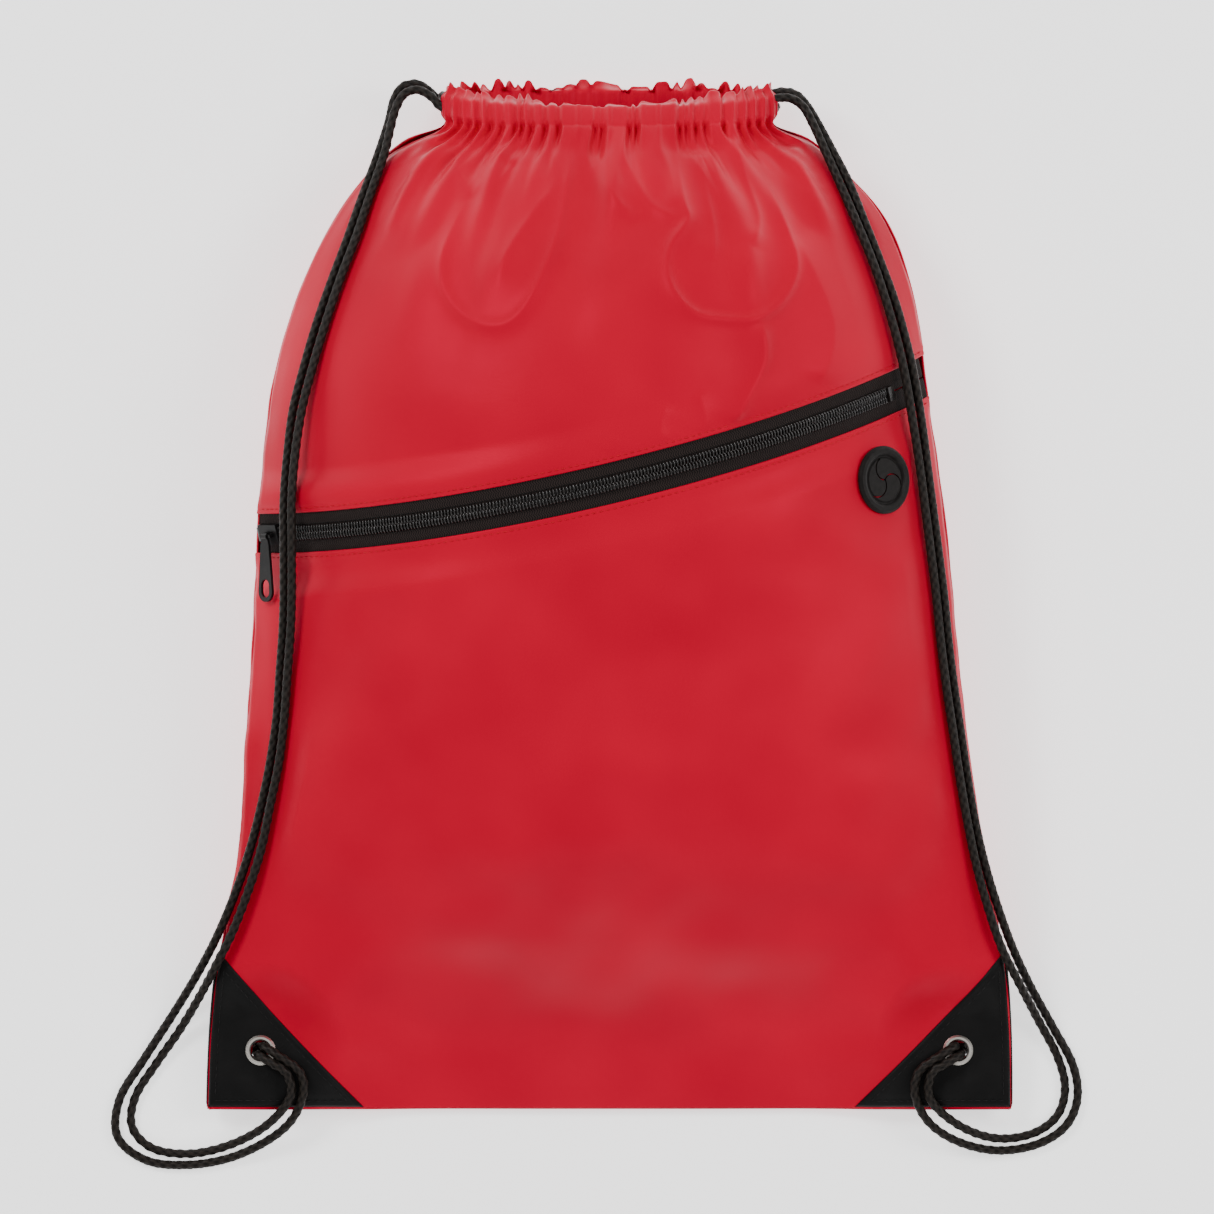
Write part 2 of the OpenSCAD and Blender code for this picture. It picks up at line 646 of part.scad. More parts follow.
port_x = 120.5 * width_k;
port_y = 51 * length_k;
function front_t(x, y, lo = -1, hi = 1, n = 0) =
    let (mid = (lo + hi) / 2)
    n > 20 ? mid : front_point(mid, y)[0] < x ? front_t(x, y, mid, hi, n + 1) : front_t(x, y, lo, mid, n + 1);
port_t = front_t(port_x, port_y);
port_at = front_point(port_t, port_y);
port_normal = front_normal(port_t, port_y);
module at_port() {
    translate(port_at)
        rotate([0, acos(port_normal[2]), atan2(port_normal[1], port_normal[0])]) children();
}
module cable_port() {
    under = 0.9;
    over = 0.3;
    rim_h = 2.2;
    slit = 0.6;
    swirl_r = 5;
    web_r = port_barrel_r - 1.5;
    color(black) at_port() difference() {
        rotate_extrude($fn = 64) polygon([
            [0, 0.4], [0, 1.6], [web_r, 1.6], [web_r + 0.6, 1.1], [web_r + 1.2, 1.1], [web_r + 1.8, 2],
            [port_r - 2.8, rim_h], [port_r - 1.2, rim_h], [port_r, 1.2], [port_r, over],
            [port_barrel_r, over], [port_barrel_r, -fabric - under], [port_barrel_r + 2, -fabric - under],
            [port_barrel_r + 2, -fabric - under - 1], [web_r, -fabric - under - 1], [web_r, 0.4]
        ]);
        // Three curved slits from the centre to the rim of the web
        for (k = [0:2])
            rotate([0, 0, 90 + 120 * k]) translate([swirl_r, 0, 0]) rotate([0, 0, 30])
                rotate_extrude(angle = 150) translate([swirl_r - slit / 2, 0]) square([slit, 3]);
    }
}

// ---- Grommets and knots ----

stack_z = corner_lift + stack_height + patch_gap + patch_thick;
under_z = corner_lift - patch_gap - patch_thick;
module at_grommet(side) {
    translate([side * grommet_x, grommet_y, 0]) children();
}
module grommet(side) {
    flange_h = 1.4;
    color("silver") at_grommet(side) rotate_extrude() polygon([
        [grommet_bore_r, under_z - 1.2], [barrel_r, under_z - 1.2], [barrel_r, stack_z + 0.2],
        [grommet_flange_r, stack_z + 0.2], [grommet_flange_r, stack_z + 0.6],
        [grommet_flange_r - 0.8, stack_z + flange_h], [grommet_bore_r + 0.6, stack_z + flange_h],
        [grommet_bore_r, stack_z + flange_h - 0.6]
    ]);
}
module grommet_washer(side) {
    color("silver") at_grommet(side) rotate_extrude() polygon([
        [barrel_r + 0.05, under_z - 0.9], [grommet_flange_r, under_z - 0.9],
        [grommet_flange_r, under_z - 0.1], [barrel_r + 0.05, under_z - 0.1]
    ]);
}

knot_z = 0.4;
knot_top = under_z - 1.4;
module knot(side) {
    plug_r = grommet_bore_r - 0.4;
    half = knot_d / 2;
    plug_top = stack_z + 0.5;
    color(black) at_grommet(side) rotate_extrude() polygon([
        [0, knot_z], [half * 0.6, knot_z], [half * 0.92, knot_z + 1.8], [half, (knot_z + knot_top) / 2],
        [half * 0.92, knot_top - 1.8], [half * 0.6, knot_top], [plug_r, knot_top],
        [plug_r, plug_top], [0, plug_top]
    ]);
}

back_panel();
front_panel();
pocket_panel();
pocket_lining();
hem_casing(true);  // hem_casing_front
hem_casing(false);  // hem_casing_back
patch(-1, true);  // patch_front_left
patch(1, true);  // patch_front_right
patch(-1, false);  // patch_back_left
patch(1, false);  // patch_back_right
grommet(-1);  // grommet_left
grommet(1);  // grommet_right
grommet_washer(-1);  // grommet_washer_left
grommet_washer(1);  // grommet_washer_right
zip_tape(1);  // zip_tape_upper
zip_tape(-1);  // zip_tape_lower
zip_coil(1);  // zip_coil_upper
zip_coil(-1);  // zip_coil_lower
zip_stop(top_stop_angle, 1.8);  // zip_top_stop
zip_stop(bottom_stop_angle, 3.6);  // zip_bottom_stop
zip_slider();
zip_puller();
cable_port();
strand(left_outer);  // cord_left_outer
strand(left_inner);  // cord_left_inner
strand(right_outer);  // cord_right_outer
strand(right_inner);  // cord_right_inner
cord_hem(-1);  // cord_hem_left
cord_hem(1);  // cord_hem_right
knot(-1);  // knot_left
knot(1);  // knot_right
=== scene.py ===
"""Looks for the drawstring backpack: gathered satin cloth, a coil zip, braided cords and coated corners."""
import json
import math

import bpy
import numpy as np
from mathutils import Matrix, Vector


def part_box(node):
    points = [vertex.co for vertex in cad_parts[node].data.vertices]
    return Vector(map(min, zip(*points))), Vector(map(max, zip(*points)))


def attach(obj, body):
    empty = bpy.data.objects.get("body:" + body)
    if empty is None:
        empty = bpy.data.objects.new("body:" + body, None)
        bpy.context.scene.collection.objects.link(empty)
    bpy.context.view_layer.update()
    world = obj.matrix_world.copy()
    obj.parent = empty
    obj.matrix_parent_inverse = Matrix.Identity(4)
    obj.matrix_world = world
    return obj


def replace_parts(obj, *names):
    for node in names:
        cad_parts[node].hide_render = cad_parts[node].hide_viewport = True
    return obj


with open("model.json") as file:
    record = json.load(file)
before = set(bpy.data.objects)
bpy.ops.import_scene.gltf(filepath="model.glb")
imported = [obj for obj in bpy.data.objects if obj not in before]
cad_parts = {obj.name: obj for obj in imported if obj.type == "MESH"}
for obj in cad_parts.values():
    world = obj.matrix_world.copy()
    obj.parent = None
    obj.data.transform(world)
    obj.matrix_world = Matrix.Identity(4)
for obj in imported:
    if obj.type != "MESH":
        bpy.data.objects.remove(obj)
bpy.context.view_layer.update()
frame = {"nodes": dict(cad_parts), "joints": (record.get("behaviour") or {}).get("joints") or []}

MM = 0.001  # Shapes are worked out in millimetres, and meshes are made in metres

# ---- Camera and light ----

CAMERA_HEIGHT = 6.0
VIEW_WIDTH, VIEW_HEIGHT = 0.5373, 0.04  # The view is this wide at this height
VIEW_CENTRE = (-0.001, -0.005)
WORLD_STRENGTH = 0.52


def add_object(name, data):
    made = bpy.data.objects.new(name, data)
    bpy.context.scene.collection.objects.link(made)
    return made


def add_camera():
    data = bpy.data.cameras.new("camera")
    data.sensor_width = 36
    data.lens = data.sensor_width * (CAMERA_HEIGHT - VIEW_HEIGHT) / VIEW_WIDTH
    data.clip_end = 50
    camera = add_object("camera", data)
    camera.location = (*VIEW_CENTRE, CAMERA_HEIGHT)
    bpy.context.scene.camera = camera


def add_area_light(name, place, target, size, power):
    data = bpy.data.lights.new(name, "AREA")
    data.shape = "RECTANGLE"
    data.size, data.size_y = size
    data.energy = power
    light = add_object(name, data)
    light.location = place
    light.rotation_euler = (Vector(target) - Vector(place)).to_track_quat("-Z", "Y").to_euler()


def add_lights():
    add_area_light("key", (-1.5, 1.3, 2.0), (0, 0.02, 0), (1.0, 0.7), 44)
    add_area_light("fill", (1.7, 0.5, 1.6), (0, 0, 0), (0.8, 1.0), 22)
    add_area_light("low", (0.1, -2.2, 1.5), (0, 0, 0), (1.8, 0.6), 12)
    world = bpy.data.worlds.new("studio")
    world.use_nodes = True
    background = world.node_tree.nodes["Background"]
    background.inputs["Color"].default_value = (1, 1, 1, 1)
    background.inputs["Strength"].default_value = WORLD_STRENGTH
    bpy.context.scene.world = world


# ---- Materials ----


class Nodes:
    """A material's node tree, with short calls for the nodes used here."""

    def __init__(self, name):
        self.material = bpy.data.materials.new(name)
        self.material.use_nodes = True
        self.tree = self.material.node_tree
        self.shader = self.tree.nodes["Principled BSDF"]

    def feed(self, socket, value):
        """Links another node's output to a socket, or sets the socket to a constant."""
        if isinstance(value, bpy.types.NodeSocket):
            self.tree.links.new(value, socket)
        else:
            socket.default_value = value

    def shade(self, **sockets):
        for name, value in sockets.items():
            self.feed(self.shader.inputs[name.replace("_", " ")], value)

    def add(self, kind, inputs, output=0, **settings):
        """Adds a node with its inputs fed, and returns one of its outputs."""
        node = self.tree.nodes.new(kind)
        for key, value in settings.items():
            setattr(node, key, value)
        for key, value in inputs.items():
            self.feed(node.inputs[key], value)
        return node.outputs[output]

    def coords(self, kind, scale=(1, 1, 1), turn=0):
        source = self.add("ShaderNodeTexCoord", {}, kind)
        rotation = (0, 0, math.radians(turn))
        return self.add("ShaderNodeMapping", {"Vector": source, "Scale": scale, "Rotation": rotation})

    def noise(self, vector, scale, detail):
        return self.add("ShaderNodeTexNoise", {"Vector": vector, "Scale": scale, "Detail": detail}, "Fac")

    def wave(self, vector, scale, direction):
        inputs = {"Vector": vector, "Scale": scale, "Distortion": 0, "Detail": 0}
        return self.add("ShaderNodeTexWave", inputs, "Fac", bands_direction=direction)

    def math(self, operation, a, b):
        return self.add("ShaderNodeMath", {0: a, 1: b}, operation=operation)

    def ramp(self, factor, stops):
        node = self.tree.nodes.new("ShaderNodeValToRGB")
        for element, (place, colour) in zip(node.color_ramp.elements, stops):
            element.position = place
            element.color = (*colour, 1)
        self.feed(node.inputs["Fac"], factor)
        return node.outputs["Color"]

    def scale_to(self, factor, low, high):
        return self.add("ShaderNodeMapRange", {"Value": factor, "To Min": low, "To Max": high}, "Result")

    def bump(self, height, strength, distance, below=None):
        inputs = {"Height": height, "Strength": strength, "Distance": distance}
        if below is not None:
            inputs["Normal"] = below
        return self.add("ShaderNodeBump", inputs, "Normal")


BLACK = (0.004, 0.004, 0.004)


def satin_fabric(name, light, dark, roughness):
    """Thin woven polyester: crossed threads, a dyed sheen and a slightly crumpled face."""
    n = Nodes(name)
    threads = n.coords("UV", (1000, 1000, 1000))
    weave = n.math("MULTIPLY", n.wave(threads, 0.55, "X"), n.wave(threads, 0.55, "Y"))
    cloth = n.coords("UV")
    soft = n.noise(cloth, 14, 2)
    crumple = n.noise(cloth, 60, 4)
    n.shade(Base_Color=n.ramp(soft, [(0.3, dark), (0.7, light)]),
            Roughness=n.scale_to(crumple, roughness - 0.05, roughness + 0.08),
            Normal=n.bump(weave, 0.10, 0.0002, n.bump(crumple, 0.18, 0.0010)),
            Specular_IOR_Level=0.36, Specular_Tint=(1, 0.02, 0.10, 1))
    return n.material


def leatherette():
    """Coated cloth with fine cells pressed into it."""
    n = Nodes("coated_leatherette")
    place = n.coords("UV")
    cells = n.add("ShaderNodeTexVoronoi", {"Scale": 700, "Vector": place}, "Distance",
                  feature="DISTANCE_TO_EDGE")
    crumple = n.noise(place, 60, 4)
    n.shade(Base_Color=n.ramp(crumple, [(0.3, BLACK), (0.75, (0.008, 0.0075, 0.0075))]),
            Roughness=n.scale_to(crumple, 0.42, 0.6),
            Normal=n.bump(cells, 0.35, 0.0002, n.bump(crumple, 0.6, 0.0015)),
            Specular_IOR_Level=0.11)
    return n.material


def herringbone_tape():
    """Woven tape: slanted ribs that change their slant in narrow bands."""
    n = Nodes("herringbone_tape")
    millimetres = (1000, 1000, 1)
    left, right = (n.wave(n.coords("UV", millimetres, turn), 0.32, "X") for turn in (30, -30))
    bands = n.math("GREATER_THAN", n.wave(n.coords("UV", millimetres), 0.11, "Y"), 0.5)
    ribs = n.add("ShaderNodeMix", {"Factor": bands, 2: left, 3: right})
    n.shade(Base_Color=n.ramp(ribs, [(0.0, (0.004, 0.003, 0.003)), (1.0, (0.030, 0.020, 0.018))]),
            Normal=n.bump(ribs, 0.5, 0.0003), Roughness=0.8, Specular_IOR_Level=0.15)
    return n.material


def braided_yarn():
    """Yarn with painted shade down between the strands and lighter strand tops; each cord's mesh holds the
    strands' depth as an attribute.
    """
    n = Nodes("braided_yarn")
    fibres = n.noise(n.coords("UV", (400, 2500, 1)), 1.0, 3)
    height = n.add("ShaderNodeAttribute", {}, "Fac", attribute_name="strand_height")
    # Fibre noise times strand depth: the colour ramp below paints shade into the braid's grooves and
    # lightens the strand tops.
    tone = n.math("MULTIPLY", height, n.scale_to(fibres, 0.6, 1.3))
    n.shade(Base_Color=n.ramp(tone, [(0.15, (0.002, 0.0017, 0.0015)), (0.9, (0.022, 0.017, 0.014))]),
            Normal=n.bump(fibres, 0.5, 0.0003), Roughness=n.scale_to(height, 0.6, 0.36),
            Specular_IOR_Level=0.14)
    return n.material


def plain_finish(name, dark, light, roughness, metallic=0.0, grain=900.0, depth=0.00008,
                 specular=0.3):
    """A finish whose tone, roughness and bump vary finely over the piece."""
    n = Nodes(name)
    place = n.coords("Object")
    fine = n.noise(place, grain, 4)
    n.shade(Base_Color=n.ramp(n.noise(place, grain * 0.3, 3), [(0.3, dark), (0.75, light)]),
            Roughness=n.scale_to(fine, roughness - 0.06, roughness + 0.08),
            Normal=n.bump(fine, 0.35, depth), Metallic=metallic, Specular_IOR_Level=specular)
    return n.material


RED = satin_fabric("red_satin", (0.58, 0.0005, 0.027), (0.49, 0.0004, 0.022), 0.38)
LINING_RED = satin_fabric("red_lining", (0.44, 0.0006, 0.018), (0.37, 0.0005, 0.015), 0.5)
LEATHER = leatherette()
TAPE = herringbone_tape()
YARN = braided_yarn()
RED_THREAD = plain_finish("red_thread", (0.42, 0.002, 0.014), (0.58, 0.004, 0.022), 0.55, specular=0.15)
BLACK_THREAD = plain_finish("black_thread", BLACK, (0.012, 0.011, 0.011), 0.6, specular=0.2)
COIL = plain_finish("nylon_coil", (0.008, 0.007, 0.007), (0.026, 0.021, 0.019), 0.22, grain=1500,
                    specular=0.6)
ENAMEL = plain_finish("black_enamel", BLACK, (0.011, 0.010, 0.010), 0.3, grain=600, specular=0.14)
RUBBER = plain_finish("moulded_rubber", (0.006, 0.005, 0.0045), (0.013, 0.0108, 0.010), 0.45,
                      grain=1400, specular=0.12)
NICKEL = plain_finish("nickel_plate", (0.66, 0.62, 0.57), (0.84, 0.80, 0.74), 0.34, metallic=1.0,
                      grain=300, depth=0.00002)
FLOOR = plain_finish("pale_floor", (0.93, 0.93, 0.93), (0.95, 0.95, 0.95), 0.8, grain=20, depth=0.00001)
FLOOR_GLOW = 1.2
floor_shader = FLOOR.node_tree.nodes["Principled BSDF"]
floor_shader.inputs["Emission Color"].default_value = (1, 1, 1, 1)
floor_shader.inputs["Emission Strength"].default_value = FLOOR_GLOW

# ---- Meshes from grids of points ----


def make_piece(name, points, faces, material, uv=None, slot=None, strand_height=None):
    """A smooth-shaded mesh of points in millimetres, riding on the bag."""
    mesh = bpy.data.meshes.new(name)
    mesh.from_pydata(np.asarray(points) * MM, [], faces)
    mesh.polygons.foreach_set("use_smooth", [True] * len(mesh.polygons))
    if uv is not None:
        layer = mesh.uv_layers.new(name="flat")
        corner = np.empty(len(mesh.loops), int)
        mesh.loops.foreach_get("vertex_index", corner)
        layer.data.foreach_set("uv", np.asarray(uv)[corner].astype(np.float32).ravel())
    if strand_height is not None:
        attribute = mesh.attributes.new("strand_height", "FLOAT", "POINT")
        attribute.data.foreach_set("value", np.asarray(strand_height, np.float32).ravel())
    mesh.materials.append(material)
    mesh.validate()
    piece = add_object(name, mesh)
    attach(piece, "bag")
    return piece


def unit(vectors):
    return vectors / np.linalg.norm(vectors, axis=-1, keepdims=True)


def normals_of(grid):
    """Unit normals at the points of a grid."""
    across = np.gradient(grid, axis=0)
    up = np.gradient(grid, axis=1)
    n = np.cross(across, up)
    return n / np.maximum(np.linalg.norm(n, axis=2, keepdims=True), 1e-9)


def shell_faces(columns, rows):
    """A closed skin: the outer grid, the inner grid behind it and a rim between them."""
    size = columns * rows
    i, j = np.meshgrid(np.arange(columns - 1), np.arange(rows - 1), indexing="ij")
    a = (i * rows + j).ravel()
    outer = np.stack([a, a + rows, a + rows + 1, a + 1], 1)
    low, left = np.arange(columns - 1) * rows, np.arange(rows - 1)
    rims = []
    for a, step, flip in ((low, rows, False), (low + rows - 1, rows, True),
                          (left, 1, True), (left + (columns - 1) * rows, 1, False)):
        quads = np.stack([a, a + size, a + step + size, a + step], 1)
        rims.append(quads[:, ::-1] if flip else quads)
    return np.concatenate([outer, outer[:, ::-1] + size, *rims])


def fabric_piece(name, grid, uv, material=RED, thickness=0.5, slot="red_nylon"):
    """A sheet of cloth: grid is its outer face, the thickness goes inwards, and grommets leave holes."""
    inner = grid - thickness * normals_of(grid)
    points = np.concatenate([grid.reshape(-1, 3), inner.reshape(-1, 3)])
    flat = np.concatenate([uv.reshape(-1, 2)] * 2)
    faces = shell_faces(*grid.shape[:2])
    middle = points[faces].mean(1)
    faces = faces[from_grommet(middle[:, 0], middle[:, 1]) > HOLE_R]
    return make_piece(name, points, faces.tolist(), material, uv=flat, slot=slot)


def fade(low, high, value):
    """0 below low, 1 above high and a smooth step between them."""
    f = np.clip((value - low) / (high - low), 0, 1)
    return f * f * (3 - 2 * f)


def mix(a, b, f):
    return a + (b - a) * f


# ---- The filled bag's smooth surfaces, as in the part's source ----

# y, left half-width, right half-width, side seam height, rise of the front above the seam
STATIONS = np.array([
    [-228.5, 179, 179, 3.4, 0.6],
    [-190, 177, 178, 9, 14],
    [-150, 172, 174, 20, 38],
    [-110, 164.5, 166.5, 30, 56],
    [-60, 161, 158.5, 35, 65],
    [0, 158, 153, 36, 70.5],
    [50, 155, 147.5, 36, 76],
    [90, 151, 142, 36, 78],
    [130, 140, 136, 35, 71],
    [165, 124, 124, 32, 55],
    [190, 106, 104, 29, 41],
    [205, 88, 87, 26, 32],
    [213, 79, 79, 24, 26],
])
BOTTOM_Y = STATIONS[0, 0]
GROMMET = (155.0, -202.0)
HOLE_R = 4.8
PINCH_NEAR, PINCH_FAR, STACK_HEIGHT = 9, 40, 3.4  # The cloth is pressed flat at a grommet
LIFT_NEAR, LIFT_FAR, CORNER_LIFT = 9, 75, 10.5  # and lifted by the knot under it
SEAM_GAP = 0.3
PORT = (120.5, 51.0)
PANEL_OVER_TAPE = 1.2
PARTING = 9.6  # From the middle of the zip to the edge of each panel
TAPE_HALF = 11.6
ZIP_LEFT_Y, ZIP_RIGHT_Y = 27.5, 97.5
ZIP_TOP_Y = 140.0  # Above every point of the zip
ZIP_FLAT, ZIP_FADE = 12, 28  # The front follows the zip's cylinder this far from it
MOUTH_HALF, MOUTH_Y, MOUTH_Z = 74.0, 219.5, 24.0
FRONT_RIM_DROP, FRONT_RIM_RISE, FRONT_RIM_LEAN = 8, 27, 0.75
BACK_RIM_SAG, BACK_RIM_REACH = 19, 1.6


def station(column, y):
    """One column of the stations at y, as a smooth curve through them."""
    ys, v = STATIONS[:, 0], STATIONS[:, column]
    i = np.clip(np.searchsorted(ys, y, side="right") - 1, 0, len(ys) - 2)
    slope = np.empty(len(ys))
    slope[1:-1] = (v[2:] - v[:-2]) / (ys[2:] - ys[:-2])
    slope[0], slope[-1] = (v[1] - v[0]) / (ys[1] - ys[0]), (v[-1] - v[-2]) / (ys[-1] - ys[-2])
    w = ys[i + 1] - ys[i]
    f = (y - ys[i]) / w
    ends = (1 + 2 * f) * (1 - f) ** 2 * v[i] + f * f * (3 - 2 * f) * v[i + 1]
    return ends + w * slope[i] * f * (1 - f) ** 2 - w * slope[i + 1] * f * f * (1 - f)


def from_grommet(x, y):
    """Plan distance to the nearest grommet's middle."""
    return np.hypot(np.abs(x) - GROMMET[0], y - GROMMET[1])


def lift(x, y):
    return CORNER_LIFT * (1 - fade(LIFT_NEAR, LIFT_FAR, from_grommet(x, y)))


def arc_point(t, y):
    """x and z on the front's arc at y, with t from -1 at the left seam to 1 at the right."""
    left, right, h = station(1, y), station(2, y), station(4, y)
    w = (left + right) / 2
    big = (w * w + h * h) / (2 * h)
    a = t * np.arcsin(w / big)
    return (right - left) / 2 + big * np.sin(a), station(3, y) + h - big * (1 - np.cos(a))


travel = next(j for j in frame["joints"] if j["name"] == "slider_travel")
ZIP_CENTRE = np.array(travel["pos_m"]) / MM
ZIP_AXIS = np.array(travel["axis"])
left_x, left_z = arc_point(-1.0, ZIP_LEFT_Y)
right_x, right_z = arc_point(1.0, ZIP_RIGHT_Y)
ZIP_LEFT, ZIP_RIGHT = np.array([left_x, ZIP_LEFT_Y, left_z]), np.array([right_x, ZIP_RIGHT_Y, right_z])
ZIP_ALONG = unit(ZIP_RIGHT - ZIP_LEFT)
ZIP_OUT = np.cross(ZIP_ALONG, ZIP_AXIS)
ZIP_R = np.linalg.norm(ZIP_LEFT - ZIP_CENTRE)
TAPE_R = ZIP_R - PANEL_OVER_TAPE


def arc_degrees(length):
    """The angle of a length along the tape."""
    return math.degrees(length / TAPE_R)


def across_zip(points):
    """Distance from the zip's middle line, above 0 towards the mouth."""
    return (points - ZIP_CENTRE) @ ZIP_AXIS


def cylinder_z(x, y):
    """Height of the zip's cylinder over a plan point."""
    q = np.stack([x, y, np.zeros_like(x)], -1) - ZIP_CENTRE
    s = q @ ZIP_AXIS
    a = 1 - ZIP_AXIS[2] ** 2
    b = q[..., 2] - s * ZIP_AXIS[2]
    d = (q * q).sum(-1) - s * s - ZIP_R**2
    return (-b + np.sqrt(np.maximum(0, b * b - a * d))) / a


def front_surface(t, y):
    """The outer face of the front, laid onto the zip's cylinder and pinched at the grommets."""
    t, y = np.broadcast_arrays(t, y)
    x, z = arc_point(t, y)
    by_zip = 1 - fade(ZIP_FLAT, ZIP_FADE, np.abs(across_zip(np.stack([x, y, z], -1))))
    z = mix(z, cylinder_z(x, y), by_zip)
    pinch = 1 - fade(PINCH_NEAR, PINCH_FAR, from_grommet(x, y))
    return np.stack([x, y, mix(z, STACK_HEIGHT, pinch) + lift(x, y)], -1)


def back_surface(t, y):
    """The outer face of the back: flat on the floor, curling up to the side seams."""
    t, y = np.broadcast_arrays(t, y)
    side = np.where(t < 0, -1.0, 1.0)
    half = np.where(t < 0, station(1, y), station(2, y))
    seam = front_surface(side, y)[..., 2] - lift(side * half, y) - SEAM_GAP
    flat = half - seam
    s = np.abs(t) * (flat + seam * math.pi / 2)
    a = np.maximum(0, s - flat) / seam
    x = side * (np.minimum(s, flat) + seam * np.sin(a))
    return np.stack([x, y, seam * (1 - np.cos(a)) + lift(x, y)], -1)


def zip_line(t, s):
    """y on each column t where the front is s across the zip."""
    low, high = np.zeros_like(t), np.full_like(t, ZIP_TOP_Y)
    for _ in range(22):
        middle = (low + high) / 2
        under = across_zip(front_surface(t, middle)) < s
        low, high = np.where(under, middle, low), np.where(under, high, middle)
    return low


def on_zip(angle, out, across):
    """Points by degrees round the zip, height above the tape and distance across it."""
    a = np.radians(angle)
    radial = np.cos(a)[..., None] * ZIP_OUT + np.sin(a)[..., None] * ZIP_ALONG
    r = TAPE_R + np.asarray(out)
    return ZIP_CENTRE + r[..., None] * radial + np.asarray(across)[..., None] * ZIP_AXIS


def zip_angle(point):
    """Where a point lies round the zip, in degrees from its middle."""
    q = point - ZIP_CENTRE
    return math.degrees(math.atan2(q @ ZIP_ALONG, q @ ZIP_OUT))


# ---- The mouth's hem ----


def rim(front, a):
    """The middle of a hem casing at angle a round the mouth, from -90 to 90 degrees."""
    x, c = MOUTH_HALF * np.sin(np.radians(a)), np.cos(np.radians(a))
    if front:
        return np.stack([x, MOUTH_Y - FRONT_RIM_DROP * c, MOUTH_Z + FRONT_RIM_RISE * c], -1)
    low = MOUTH_Z - BACK_RIM_SAG * np.sqrt(np.maximum(c, 0))
    return np.stack([x, MOUTH_Y + BACK_RIM_REACH * c, low], -1)


def rim_axes(front, a):
    """Unit vectors up the hem and out of it, away from the mouth's opening for both halves."""
    lean = -FRONT_RIM_LEAN if front else 0.0
    up = np.stack([0 * a, 1 + 0 * a, lean * np.cos(np.radians(a))], -1)
    up = unit(up)
    along = unit(rim(front, np.minimum(90, a + 1)) - rim(front, np.maximum(-90, a - 1)))
    out = unit(np.cross(along, up))
    return up, out if front else -out


def casing_point(front, a, u):
    """A point inside a hem casing at angle a, u up from its middle."""
    a = np.asarray(a, float)
    return rim(front, a) + u * rim_axes(front, a)[0]


# ---- Cord routes: x, y and z of each point in turn, as in the part's source ----

